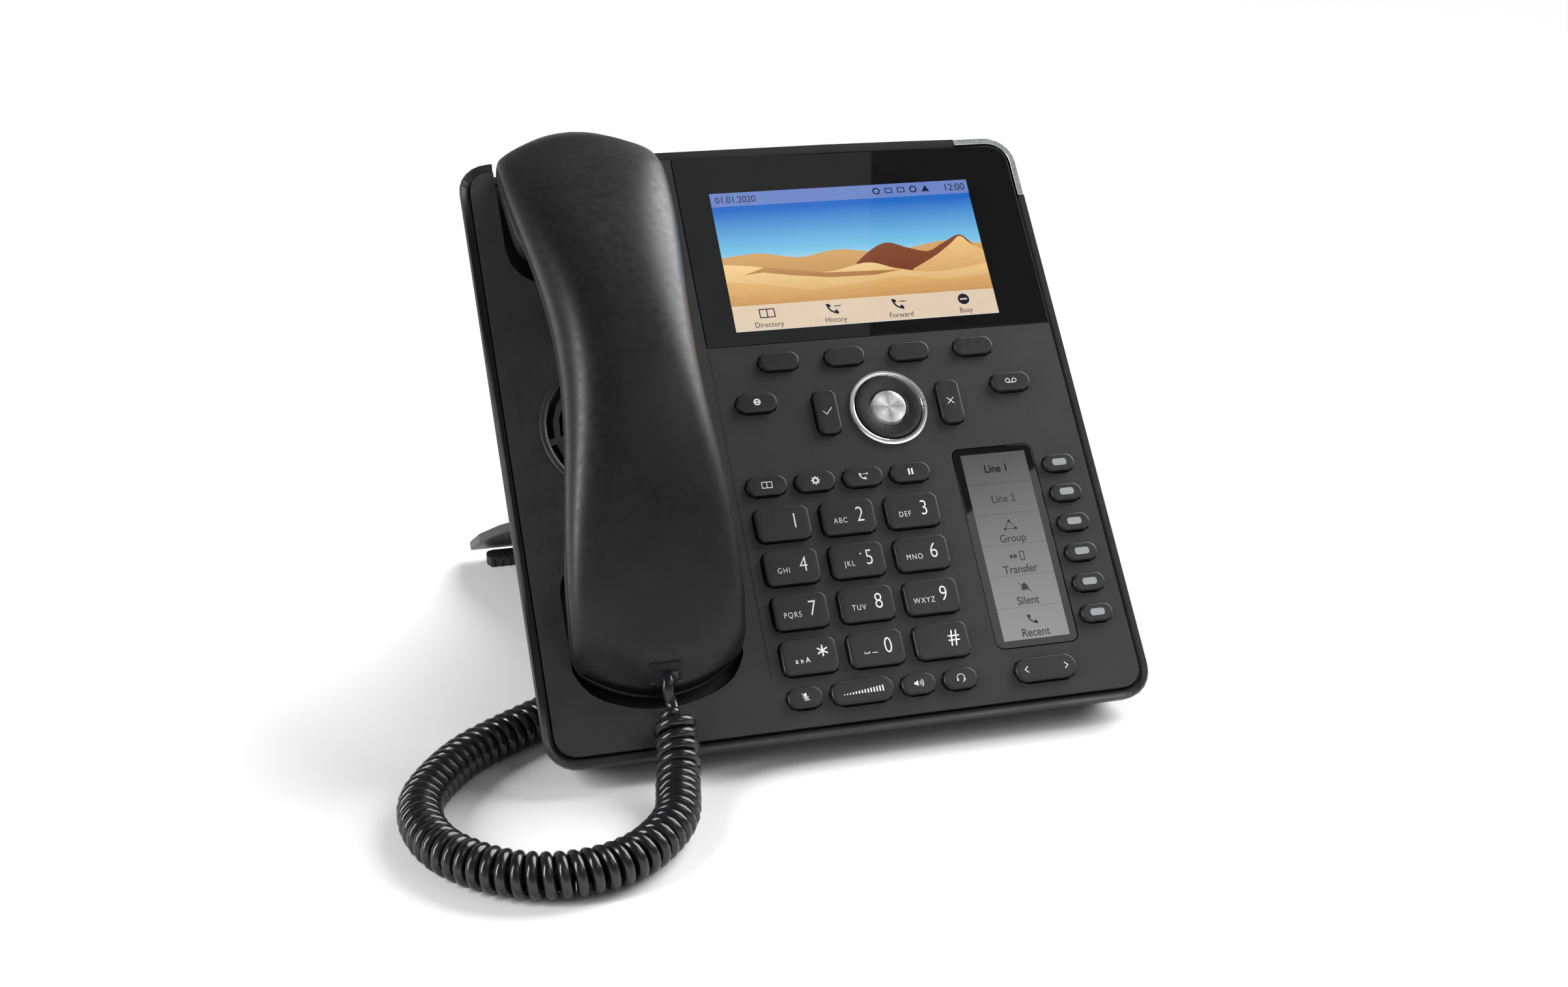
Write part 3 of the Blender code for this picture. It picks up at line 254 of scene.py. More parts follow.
def lit_gradient(name, stops, bottom, top, strength, ripple=0.0, gloss=0.03):
    """A lit patch whose colour follows its height on the face, with optional wind ripples."""
    shade = Shader(name, BLACK, gloss)
    split = shade.nodes.new("ShaderNodeSeparateXYZ")
    shade.links.new(shade.where, split.inputs["Vector"])
    place = shade.nodes.new("ShaderNodeMapRange")
    place.inputs["From Min"].default_value = bottom
    place.inputs["From Max"].default_value = top
    shade.links.new(split.outputs["Y"], place.inputs["Value"])
    value = place.outputs["Result"]
    if ripple:
        add = shade.nodes.new("ShaderNodeMath")
        add.operation = "MULTIPLY_ADD"
        shade.links.new(shade.noise(220.0, 6.0, (0.5, 2.4, 1.0)), add.inputs[0])
        add.inputs[1].default_value = ripple
        shade.links.new(value, add.inputs[2])
        value = add.outputs["Value"]
    shade.feed(shade.ramp(value, stops), "Emission Color")
    shade.set("Emission Strength", strength)
    return shade.material


HOUSING = moulded("housing_plastic", (0.015, 0.015, 0.0155), (0.021, 0.021, 0.0215), 0.48)
RIM = moulded("rim_plastic", (0.016, 0.016, 0.0165), (0.022, 0.022, 0.0225), 0.44)
HANDSET = moulded("handset_soft_touch", (0.005, 0.005, 0.0053), (0.008, 0.008, 0.0083), 0.38,
                  3400.0, 0.00002, 0.2, 0.32)
KEY = moulded("key_plastic", (0.010, 0.010, 0.0105), (0.014, 0.014, 0.0145), 0.36, 3600.0,
              0.00002, 0.15)
NAV_KEY = moulded("nav_ring_plastic", (0.010, 0.010, 0.011), (0.015, 0.015, 0.016), 0.34, 3600.0,
                  0.00001, 0.1)
WINDOW = glossy("window_smoked", (0.004, 0.004, 0.0045), (0.006, 0.006, 0.0065), 0.02, 20.0, 0.0)
CORD = glossy("cord_jacket", (0.006, 0.006, 0.007), (0.011, 0.011, 0.012), 0.20, 160.0, 0.08)
PLUG = glossy("plug_polycarbonate", (0.015, 0.015, 0.017), (0.03, 0.03, 0.033), 0.15)
CHROME = metal("trim_chrome", (0.92, 0.92, 0.93), 0.2)
SCREW = metal("screw_steel", (0.35, 0.35, 0.36), 0.35)
LAMP = metal("lamp_silver", (0.62, 0.63, 0.64), 0.3)
RUBBER = moulded("pad_rubber", (0.012, 0.012, 0.012), (0.020, 0.020, 0.020), 0.7, 1800.0)
INNER = moulded("inner_black", (0.004, 0.004, 0.004), (0.007, 0.007, 0.007), 0.7)
BOARD = moulded("board_mask", (0.012, 0.10, 0.04), (0.02, 0.14, 0.06), 0.4)
SOCKET_EDGE = moulded("socket_edge", (0.05, 0.05, 0.05), (0.08, 0.08, 0.08), 0.3)
SILICONE = moulded("mat_silicone", (0.4, 0.4, 0.4), (0.5, 0.5, 0.5), 0.7)
INK = printed("legend_ink", (0.86, 0.86, 0.87), INK_PAINTED_GLOW)
FAINT_INK = printed("faint_ink", (0.07, 0.07, 0.072))
LED = lit("led_window", (0.80, 0.81, 0.82), 0.45, 0.3)

# --- Pieces ---


IN_WORLD = Matrix.Identity(4)


def paint(data, material):
    data.materials.clear()
    data.materials.append(material)


def piece(name, data, material, body="root", place=FACE, replaces=(), ride=True):
    obj = put(name, data)
    obj.matrix_world = place
    paint(data, material)
    if replaces:
        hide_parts(*replaces)
    if ride:
        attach(obj, body)
    return obj


def to_mesh(name, shape, smooth_angle=None):
    data = bpy.data.meshes.new(name)
    shape.to_mesh(data)
    shape.free()
    if smooth_angle is not None:
        data.shade_smooth()
        data.set_sharp_from_angle(angle=math.radians(smooth_angle))
    return data


def loft(name, rings, caps=True, smooth_angle=40, closed=True):
    """A mesh through rings of points, lowest first, run anticlockwise seen from above."""
    shape = bmesh.new()
    loops = [[shape.verts.new(p) for p in ring] for ring in rings]
    for low, high in zip(loops, loops[1:]):
        count = len(low)
        for i in range(count if closed else count - 1):
            j = (i + 1) % count
            shape.faces.new((low[i], low[j], high[j], high[i]))
    if closed and caps:
        shape.faces.new(loops[0][::-1])
        shape.faces.new(loops[-1])
    return to_mesh(name, shape, smooth_angle)


LEAST_CORNER = 0.00005
LEAST_SIDE = 0.00001
WELD = 1e-6
EDGE_SEGMENTS = 3
EDGE_ANGLE = 30
FLAT_ANGLE = 0.6


def arc(cx, cy, r, start, end, steps):
    angles = [math.radians(start + (end - start) * i / steps) for i in range(steps + 1)]
    return [(cx + r * math.cos(a), cy + r * math.sin(a)) for a in angles]


def rounded(x, y, width, height, r, steps=8):
    """The outline of a rectangle with round corners, whose radius stays inside it."""
    r = max(LEAST_CORNER, min(r, width / 2 - LEAST_SIDE, height / 2 - LEAST_SIDE))
    left, right = x - width / 2 + r, x + width / 2 - r
    low, high = y - height / 2 + r, y + height / 2 - r
    return (arc(right, low, r, -90, 0, steps) + arc(right, high, r, 0, 90, steps)
            + arc(left, high, r, 90, 180, steps) + arc(left, low, r, 180, 270, steps))


def revolve(name, profile, x, y, segments=96):
    """A turned piece from an open profile of (radius, level) pairs."""
    turns = [2 * math.pi * i / segments for i in range(segments)]
    rings = [[(x + r * math.cos(t), y + r * math.sin(t), w) for t in turns] for r, w in profile]
    return loft(name, rings, caps=False, smooth_angle=35)


def refined(node, material, width):
    """A CAD node's shape with its flat faces merged and its edges rounded."""
    shape = bmesh.new()
    shape.from_mesh(frame["nodes"][node].data)
    bmesh.ops.remove_doubles(shape, verts=shape.verts, dist=WELD)
    bmesh.ops.dissolve_limit(shape, angle_limit=math.radians(FLAT_ANGLE), verts=shape.verts,
                             edges=shape.edges)
    data = to_mesh(node + "_shell", shape, EDGE_ANGLE)
    obj = piece(node + "_shell", data, material, "root", IN_WORLD, (node,))
    edge = obj.modifiers.new("round_edges", "BEVEL")
    edge.width = width
    edge.segments = EDGE_SEGMENTS
    edge.limit_method = "ANGLE"
    edge.angle_limit = math.radians(EDGE_ANGLE)
    edge.harden_normals = True


CAPITAL = 0.70    # a capital's height in the font, as a share of its size


class Sketch:
    """Flat artwork on the face, in millimetres from a middle point, made into one mesh."""

    def __init__(self, x=0.0, y=0.0):
        self.x, self.y = x, y
        self.shape = bmesh.new()

    def fill(self, points):
        self.shape.faces.new([self.shape.verts.new((self.x + px * MM, self.y + py * MM, 0))
                              for px, py in points])

    def disc(self, cx, cy, r, steps=20):
        self.fill(arc(cx, cy, r, 0, 360 * (steps - 1) / steps, steps - 1))

    def ring(self, cx, cy, r, width, start=0, end=360, steps=28):
        outer = arc(cx, cy, r + width / 2, start, end, steps)
        inner = arc(cx, cy, r - width / 2, start, end, steps)
        for i in range(steps):
            self.fill([outer[i], outer[i + 1], inner[i + 1], inner[i]])

    def box(self, x0, y0, x1, y1):
        self.fill([(x0, y0), (x1, y0), (x1, y1), (x0, y1)])

    def line(self, points, width, closed=False):
        ends = list(points) + ([points[0]] if closed else [])
        for (ax, ay), (bx, by) in zip(ends, ends[1:]):
            length = math.hypot(bx - ax, by - ay) or 1.0
            nx, ny = (ay - by) / length * width / 2, (bx - ax) / length * width / 2
            self.fill([(ax - nx, ay - ny), (bx - nx, by - ny),
                       (bx + nx, by + ny), (ax + nx, ay + ny)])
        for px, py in points:
            self.disc(px, py, width / 2, 10)

    def text(self, words, size, cx=0.0, cy=0.0, align="CENTER", squeeze=1.0, weight=0.0,
             space=1.0):
        """Words whose capitals are about size millimetres tall."""
        curve = bpy.data.curves.new("words", "FONT")
        curve.body = words
        curve.size = 1.0
        curve.offset = weight
        curve.space_character = space
        curve.align_x = align
        holder = put("words", curve)
        evaluated = holder.evaluated_get(bpy.context.evaluated_depsgraph_get())
        letters = bpy.data.meshes.new_from_object(evaluated)
        bpy.data.objects.remove(holder)
        bpy.data.curves.remove(curve)
        scale = size / CAPITAL * MM
        place = Matrix.Translation((self.x + cx * MM, self.y + (cy - size / 2) * MM, 0))
        letters.transform(place @ Matrix.Diagonal((scale * squeeze, scale, scale, 1)))
        self.shape.from_mesh(letters)
        bpy.data.meshes.remove(letters)

    def done(self, name, level, material, body="root"):
        for vert in self.shape.verts:
            vert.co.z = level
        bmesh.ops.recalc_face_normals(self.shape, faces=self.shape.faces)
        for face in self.shape.faces:
            if face.normal.z < 0:
                face.normal_flip()
        return piece(name, to_mesh(name, self.shape), material, body)


# --- Camera, lights and floor ---

CAMERA_AT = Vector((-0.1903, -0.6545, 0.3155))
CAMERA_LOOKS = Vector((0.2630, 0.8956, -0.3588))
CAMERA_SIDE = Vector((0.9602, -0.2790, 0.0074))
CAMERA_LENS = 47.84
CAMERA_SENSOR = 36.0
FLOOR_HALF = 6.0
WORLD_TONES = [(0.0, 0.60), (0.45, 0.22), (1.0, 0.10)]
SUN_FROM = (0.92, 0.40, 0.70)
SUN_POWER = 4.6
SUN_SPREAD = 50
CARD_CORNERS = [(20.5, 67.0), (-9.0, -68.0), (-100.0, -68.0), (-90.0, 67.0)]
CARD_REACH = 1.3
CARD_GLOW = 0.5


def make_camera():
    data = bpy.data.cameras.new("camera")
    data.lens = CAMERA_LENS
    data.sensor_width = CAMERA_SENSOR
    camera = put("camera", data)
    back = -CAMERA_LOOKS.normalized()
    up = back.cross(CAMERA_SIDE).normalized()
    turn = Matrix((up.cross(back), up, back)).transposed().to_4x4()
    camera.matrix_world = Matrix.Translation(CAMERA_AT) @ turn
    bpy.context.scene.camera = camera


def area_light(name, at, look, size, power):
    data = bpy.data.lights.new(name, "AREA")
    data.shape = "RECTANGLE"
    data.size, data.size_y = size
    data.energy = power
    lamp = put(name, data)
    lamp.location = at
    lamp.rotation_euler = (Vector(look) - Vector(at)).to_track_quat("-Z", "Y").to_euler()


def mirrored(x, y, reach):
    """Where the camera sees, reflected in the glass at a place on the face."""
    at = FACE @ Vector((x * MM, y * MM, 0))
    ray = (at - CAMERA_AT).normalized()
    normal = FACE.to_3x3() @ Vector((0, 0, 1))
    return at + (ray - 2 * ray.dot(normal) * normal) * reach


def make_card():
    """A dim studio card overhead, whose edge shows as the upright split in the glass."""
    shade = Shader("card_glow", BLACK, 1.0)
    shade.set("Specular IOR Level", 0.0)
    shade.set("Emission Color", (1, 1, 1, 1))
    shade.set("Emission Strength", CARD_GLOW)
    data = bpy.data.meshes.new("studio_card")
    corners = [mirrored(x, y, CARD_REACH) for x, y in CARD_CORNERS]
    data.from_pydata([tuple(c) for c in corners], [], [(0, 1, 2, 3)])
    data.materials.append(shade.material)
    put("studio_card", data)


def make_stage():
    shade = Shader("floor_paper", (0.93, 0.93, 0.93), 0.9)
    shade.feed(shade.ramp(shade.noise(6.0), [(NOISE_LOW, (0.925,) * 3),
                                             (NOISE_HIGH, (0.935,) * 3)]))
    shade.set("Specular IOR Level", 0.0)
    shape = bmesh.new()
    bmesh.ops.create_grid(shape, x_segments=4, y_segments=4, size=FLOOR_HALF)
    floor = put("floor", to_mesh("floor", shape))
    floor.data.materials.append(shade.material)


def make_world():
    """A sky that darkens from the horizon upwards."""
    world = bpy.data.worlds.new("studio")
    bpy.context.scene.world = world
    world.use_nodes = True
    nodes, links = world.node_tree.nodes, world.node_tree.links
    where = nodes.new("ShaderNodeTexCoord")
    split = nodes.new("ShaderNodeSeparateXYZ")
    ramp = nodes.new("ShaderNodeValToRGB")
    links.new(where.outputs["Generated"], split.inputs["Vector"])
    links.new(split.outputs["Z"], ramp.inputs["Fac"])
    links.new(ramp.outputs["Color"], nodes["Background"].inputs["Color"])
    elements = ramp.color_ramp.elements
    elements.new(0.5)
    for element, (place, tone) in zip(elements, WORLD_TONES):
        element.position = place
        element.color = (tone, tone, tone, 1.0)


def make_lights():
    sun = bpy.data.lights.new("key_sun", "SUN")
    sun.energy = SUN_POWER
    sun.angle = math.radians(SUN_SPREAD)
    holder = put("key_sun", sun)
    holder.rotation_euler = (-Vector(SUN_FROM)).to_track_quat("-Z", "Y").to_euler()
    area_light("left_panel", (-1.0, -0.25, 0.55), (-0.06, 0.0, 0.12), (0.25, 0.9), 12.0)
    area_light("front_fill", (0.55, -0.85, 1.0), (0.05, -0.05, 0.05), (0.6, 0.6), 1.7)
    bpy.context.scene.view_settings.view_transform = "Standard"


# --- Cord: the route's points are in the table frame, in metres ---

WIRE = 3.7 * MM
COIL = 14.0 * MM
COIL_PITCH = 4.05 * MM
TURN_STEPS = 16
TUBE_SIDES = 12
PATH_STEPS = 24
STRANDS_PINCH = 0.36
STRANDS_FADE = 3
TABLE = Matrix.Translation((FACE.translation.x, FACE.translation.y, 0.0))

HANDSET_LEAD = [(-0.0934, -0.1048, 0.0326), (-0.0935, -0.1076, 0.0323), (-0.0939, -0.1100, 0.0310),
                (-0.0940, -0.1108, 0.0284), (-0.0933, -0.1115, 0.0258), (-0.0930, -0.1130, 0.0241)]
COIL_ROUTE = [(-0.0930, -0.1133, 0.0238), (-0.0935, -0.1175, 0.0190), (-0.0940, -0.1235, 0.0135),
              (-0.0965, -0.1335, 0.0080), (-0.1005, -0.1480, 0.0071), (-0.1090, -0.1605, 0.0071),
              (-0.1190, -0.1685, 0.0071), (-0.1310, -0.1720, 0.0071), (-0.1435, -0.1710, 0.0071),
              (-0.1545, -0.1660, 0.0071), (-0.1635, -0.1575, 0.0071), (-0.1700, -0.1470, 0.0071),
              (-0.1730, -0.1335, 0.0071), (-0.1715, -0.1200, 0.0071), (-0.1650, -0.1075, 0.0071),
              (-0.1560, -0.0960, 0.0071), (-0.1465, -0.0880, 0.0071), (-0.1300, -0.0770, 0.0071),
              (-0.1120, -0.0665, 0.0071), (-0.1020, -0.0615, 0.0071)]
BASE_LEAD = [(-0.1016, -0.0613, 0.0071), (-0.0965, -0.0590, 0.0075), (-0.0925, -0.0560, 0.0105),
             (-0.0910, -0.0520, 0.0170), (-0.0905, -0.0455, 0.0270), (-0.0895, -0.0380, 0.0380),
             (-0.0870, -0.0295, 0.0495), (-0.0830, -0.0205, 0.0610), (-0.0785, -0.0135, 0.0695),
             (-0.0770, -0.0098, 0.0732)]


def smooth_path(points, spacing):
    """Points at an even spacing on a smooth curve through the given ones."""
    knots = [Vector(p) for p in points]
    fine = []
    for i in range(len(knots) - 1):
        before, a = knots[max(i - 1, 0)], knots[i]
        b, after = knots[i + 1], knots[min(i + 2, len(knots) - 1)]
        for k in range(PATH_STEPS):
            t = k / PATH_STEPS
            fine.append(0.5 * ((2 * a) + (b - before) * t
                               + (2 * before - 5 * a + 4 * b - after) * t ** 2
                               + (3 * a - before - 3 * b + after) * t ** 3))
    fine.append(knots[-1])
    lengths = [0.0]
    for p, q in zip(fine, fine[1:]):
        lengths.append(lengths[-1] + (q - p).length)
    count = max(2, round(lengths[-1] / spacing))
    result, index = [], 0
    for k in range(count + 1):
        target = lengths[-1] * k / count
        while index < len(lengths) - 2 and lengths[index + 1] < target:
            index += 1
        span = lengths[index + 1] - lengths[index]
        result.append(fine[index].lerp(fine[index + 1], (target - lengths[index]) / span))
    return result


def along(path):
    """Each point of a path with its direction and a steady sideways direction."""
    frames = []
    side = Vector((1, 0, 0))
    for i, p in enumerate(path):
        ahead = path[min(i + 1, len(path) - 1)] - path[max(i - 1, 0)]
        ahead.normalize()
        side = (side - ahead * side.dot(ahead)).normalized()
        frames.append((p, ahead, side, ahead.cross(side)))
    return frames


def helix(route):
    """The wound wire's centreline round a route, easing out of the route's own line."""
    base = along(smooth_path(route, COIL_PITCH / TURN_STEPS))
    radius = (COIL - WIRE) / 2
    points = []
    for i, (p, _, side, up) in enumerate(base):
        angle = 2 * math.pi * i / TURN_STEPS
        t = min(min(i, len(base) - 1 - i) / TURN_STEPS, 1.0)
        out = radius * t * t * (3 - 2 * t)
        points.append(p + side * (out * math.cos(angle)) + up * (out * math.sin(angle)))
    return points


def tube_mesh(name, path, diameter, twin=0):
    """A round wire, whose first points may show the two strands of a flat lead."""
    rings = []
    for i, (p, _, side, up) in enumerate(along(path)):
        pinch = STRANDS_PINCH * min(1.0, max(0.0, (twin - i) / STRANDS_FADE))
        ring = []
        for k in range(TUBE_SIDES):
            t = 2 * math.pi * k / TUBE_SIDES
            r = diameter / 2 * (1 - pinch * (1 - abs(math.cos(t)) ** 0.6))
            ring.append(p + (side * math.cos(t) + up * math.sin(t)) * r)
        rings.append(ring)
    return loft(name, rings, smooth_angle=60)


def make_cord():
    lead = smooth_path(HANDSET_LEAD, 1.0 * MM)
    wire = [TABLE @ p for p in lead + helix(COIL_ROUTE)]
    tube = tube_mesh("handset_cord", wire, WIRE, len(lead))
    cord = piece("handset_cord", tube, CORD, place=IN_WORLD,
                 replaces=("handset_lead", "coil_cord"), ride=False)
    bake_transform(cord)
    lead = [TABLE @ p for p in smooth_path(BASE_LEAD, 2.0 * MM)]
    tail = piece("base_cord", tube_mesh("base_cord", lead, WIRE), CORD,
                 place=IN_WORLD, replaces=("base_lead",))


# --- Keys ---

KEY_LIP = 0.7 * MM
KEY_ROUND = 0.55 * MM
PILL_RATIO = 2.1
DIAL_CORNER = 2.5 * MM
NAV_KEY_CORNER = 2.6 * MM
KEY_SKIRT = 2.9 * MM
CROWN = [(0.35 * MM, 0.02 * MM), (1.2 * MM, 0.05 * MM)]
LEGEND_LIFT = 0.09 * MM
LED_SIZE = (5.0 * MM, 2.4 * MM)
LED_CORNER = 0.9 * MM


def key_cap(node, corner=None):
    """A cap with a rolled edge and a faint crown; returns its middle and top level."""
    x, y, width, height, top = face_place(node)
    width -= 2 * KEY_LIP
    height -= 2 * KEY_LIP
    corner = corner or height / PILL_RATIO
    profile = [(0.0, -KEY_SKIRT), (0.0, top - KEY_ROUND)]
    for i in range(1, 6):
        a = math.pi / 2 * i / 5
        profile.append((KEY_ROUND * (1 - math.cos(a)), top - KEY_ROUND * (1 - math.sin(a))))
    profile += [(KEY_ROUND + inset, top + rise) for inset, rise in CROWN]
    rings = []
    for inset, level in profile:
        outline = rounded(x, y, width - 2 * inset, height - 2 * inset, corner - inset, 10)
        rings.append([(px, py, level) for px, py in outline])
    data = loft(node + "_cap", rings, smooth_angle=50)
    piece(node + "_cap", data, KEY, node, replaces=(node,))
    return x, y, top + LEGEND_LIFT


DIAL_WORDS = {"1": "", "2": "ABC", "3": "DEF", "4": "GHI", "5": "JKL", "6": "MNO", "7": "PQRS",
              "8": "TUV", "9": "WXYZ"}


def dial_legend(label, x, y, level, node):
    art = Sketch(x, y)
    if label == "star":
        for k in range(3):
            a = math.radians(90 + 60 * k)
            dx, dy = 1.75 * math.cos(a), 1.75 * math.sin(a)
            art.line([(4.4 - dx, 1.2 - dy), (4.4 + dx, 1.2 + dy)], 0.45)
        art.text("a » A", 1.8, -2.6, -1.3, squeeze=0.9)
    elif label == "hash":
        for d in (-0.75, 0.75):
            art.line([(4.1 + d - 0.3, -2.2), (4.1 + d + 0.3, 2.8)], 0.45)
            art.line([(2.3, 0.3 + d), (5.9, 0.3 + d)], 0.45)
    else:
        art.text(label, 5.3, 4.0, 0.6, squeeze=0.78, weight=-0.012)
        if label == "0":
            art.line([(-4.2, -1.0), (-4.2, -1.5), (-2.6, -1.5), (-2.6, -1.0)], 0.2)
            art.line([(-1.6, -1.5), (0.0, -1.5)], 0.2)
        elif DIAL_WORDS[label]:
            art.text(DIAL_WORDS[label], 1.9, -2.9, -1.1, squeeze=0.82, weight=-0.01, space=1.22)
        if label == "5":
            art.disc(1.3, 1.9, 0.28)
    art.done(node + "_legend", level, INK, node)


def draw_book(art):
    art.line([(0, -1.0), (0, 0.95)], 0.24)
    for side in (-1, 1):
        art.line([(0, -1.0), (side * 1.7, -1.0), (side * 1.7, 1.05), (0, 1.05)], 0.24)


def draw_gear(art):
    art.ring(0, 0, 0.85, 0.55)
    for k in range(8):
        a = math.pi * k / 4
        ux, uy = math.cos(a), math.sin(a)
        art.line([(1.1 * ux, 1.1 * uy), (1.35 * ux, 1.35 * uy)], 0.45)


def draw_phone(art, s=1.0, cx=0.0, cy=0.0):
    curve = [(cx + s * px, cy + s * py) for px, py in
             ((-1.1, 1.0), (-1.0, 0.3), (-0.5, -0.5), (0.3, -1.0), (1.0, -1.1))]
    art.line(curve, 0.42 * s)
    art.line([(cx - 1.1 * s, cy + 1.0 * s), (cx - 0.65 * s, cy + 0.75 * s)], 0.7 * s)
    art.line([(cx + 1.0 * s, cy - 1.1 * s), (cx + 0.75 * s, cy - 0.65 * s)], 0.7 * s)


def draw_transfer(art):
    draw_phone(art, 0.9, -0.2, -0.1)
    art.line([(0.1, 0.7), (1.5, 0.7)], 0.2)
    art.fill([(1.3, 0.3), (1.9, 0.7), (1.3, 1.1)])


def draw_pause(art):
    art.box(-0.85, -1.1, -0.25, 1.1)
    art.box(0.25, -1.1, 0.85, 1.1)


def draw_mute(art):
    art.line([(0, 0.2), (0, 1.0)], 0.75)
    art.ring(0, 0.3, 0.8, 0.2, 180, 360)
    art.line([(0, -0.5), (0, -1.0)], 0.2)
    art.line([(-0.5, -1.0), (0.5, -1.0)], 0.2)
    art.line([(-1.1, 1.2), (1.1, -1.1)], 0.2)


def draw_volume(art):
    for k in range(14):
        x = -6.6 + k
        art.box(x, -1.0, x + 0.45, -0.75 + 0.13 * k)


def draw_speaker(art):
    art.fill([(-1.6, -0.4), (-1.0, -0.4), (-0.3, -1.0), (-0.3, 1.0), (-1.0, 0.4), (-1.6, 0.4)])
    for r in (0.6, 1.15, 1.7):
        art.ring(-0.2, 0, r, 0.2, -45, 45, 10)


def draw_headset(art):
    art.ring(0, 0.1, 1.25, 0.2, -20, 200)
    art.line([(-1.15, -0.2), (-1.15, -0.75)], 0.5)
    art.line([(1.15, -0.2), (1.15, -0.75)], 0.5)
    art.line([(1.1, -0.9), (0.4, -1.35)], 0.18)


def draw_page(art):
    art.line([(-6.4, 1.0), (-7.5, 0), (-6.4, -1.0)], 0.26)
    art.line([(6.4, 1.0), (7.5, 0), (6.4, -1.0)], 0.26)


def draw_check(art):
    art.line([(-1.5, 0.1), (-0.4, -1.1), (1.6, 1.2)], 0.24)


def draw_cross(art):
    art.line([(-1.1, 1.1), (1.1, -1.1)], 0.24)
    art.line([(-1.1, -1.1), (1.1, 1.1)], 0.24)


def draw_silence(art):
    art.ring(0, 0, 0.95, 0.5)
    art.box(-0.7, -0.22, 0.7, 0.22)


def draw_messages(art):
    art.ring(-1.2, 0.1, 0.75, 0.24)
    art.ring(1.2, 0.1, 0.75, 0.24)
    art.line([(-1.2, -0.65), (1.2, -0.65)], 0.24)


ICONS = {"directory_key": draw_book, "settings_key": draw_gear, "transfer_key": draw_transfer,
         "hold_key": draw_pause, "mute_key": draw_mute, "volume_rocker": draw_volume,
         "speaker_key": draw_speaker, "headset_key": draw_headset, "page_rocker": draw_page,
         "confirm_key": draw_check, "cancel_key": draw_cross, "silence_key": draw_silence,
         "message_key": draw_messages}


def make_keys():
    for label in ("1", "2", "3", "4", "5", "6", "7", "8", "9", "star", "0", "hash"):
        node = "dial_key_" + label
        x, y, level = key_cap(node, DIAL_CORNER)
        dial_legend(label, x, y, level, node)
    for i in range(1, 5):
        key_cap("soft_key_%d" % i)
    for i in range(1, 7):
        node = "line_key_%d" % i
        x, y, level = key_cap(node)
        outline = rounded(x, y, *LED_SIZE, LED_CORNER)
        led = loft(node + "_led", [[(px, py, level + rise * MM) for px, py in outline]
                                   for rise in (-0.05, 0.1)])
        piece(node + "_led", led, LED, node)
    for node, draw in ICONS.items():
        corner = NAV_KEY_CORNER if node in ("confirm_key", "cancel_key") else None
        x, y, level = key_cap(node, corner)
        art = Sketch(x, y)
        draw(art)
        art.done(node + "_legend", level, INK, node)


TRIM_BORE = 11.85 * MM
OK_HOLE = 6.5 * MM


def make_navigation():
    x, y, width, _, top = face_place("nav_trim_ring")
    r = width / 2
    bore = TRIM_BORE
    rise = 0.35 * MM
    trim = [(r, 0.02 * MM), (r - 0.05 * MM, top - rise), (r - 0.35 * MM, top - 0.05 * MM),
            ((r + bore) / 2, top), (bore + 0.3 * MM, top - 0.08 * MM), (bore, top - rise),
            (bore, -2.0 * MM)]
    piece("nav_trim_ring_polished", revolve("nav_trim", trim, x, y), CHROME, "root",
          replaces=("nav_trim_ring",))
    _, _, width, _, level = face_place("nav_ring")
    r, hole = width / 2, OK_HOLE
    profile = [(r, -2.0 * MM), (r, level - 0.45 * MM), (r - 0.15 * MM, level - 0.12 * MM),
               (r - 0.5 * MM, level), (r - 1.5 * MM, level),
               (hole + 1.6 * MM, level - 0.2 * MM), (hole + 0.4 * MM, level - 0.45 * MM),
               (hole, level - 0.9 * MM), (hole, -2.0 * MM)]
    piece("nav_ring_cap", revolve("nav_ring_cap", profile, x, y), NAV_KEY, "nav_ring",
          replaces=("nav_ring",))
    marks = Sketch(x, y)
    for k in range(4):
        a = math.pi / 2 * k
        ux, uy = math.cos(a), math.sin(a)
        tip, back, half = 9.8, 8.9, 1.0
        marks.line([(back * ux - half * uy, back * uy + half * ux), (tip * ux, tip * uy),
                    (back * ux + half * uy, back * uy - half * ux)], 0.22)
    marks.done("nav_ring_marks", level + 0.02 * MM, FAINT_INK, "nav_ring")
    _, _, width, _, top = face_place("ok_button")
    r = width / 2
    button = [(r, -1.5 * MM), (r, top - 0.4 * MM), (r - 0.12 * MM, top - 0.12 * MM),
              (r - 0.45 * MM, top), (r * 0.6, top - 0.12 * MM), (r * 0.25, top - 0.22 * MM),
              (0.02 * MM, top - 0.24 * MM)]
    # The spun button carries painted highlight wedges and a painted glow
    spun = metal("button_spun_and_sheen", (0.80, 0.80, 0.81), 0.28, (-x, -y, 0.0))
    piece("ok_button_cap", revolve("ok_button_cap", button, x, y), spun, "ok_button",
          replaces=("ok_button",))


# --- Displays ---

SCREEN_W = 95.04
SCREEN_H = 53.86
ART_LEVEL = 0.05 * MM
ART_STEP = 0.04 * MM


HALF_W = SCREEN_W / 2
HALF_H = SCREEN_H / 2
BAR_TOP = HALF_H - 5.4
BAR_LOW = -HALF_H + 9.6
HILL_FOOT = -21
HILL_STEP = 1.2
SKY = [(0.0, (0.72, 0.90, 0.93)), (0.35, (0.22, 0.62, 0.90)), (1.0, (0.02, 0.16, 0.62))]

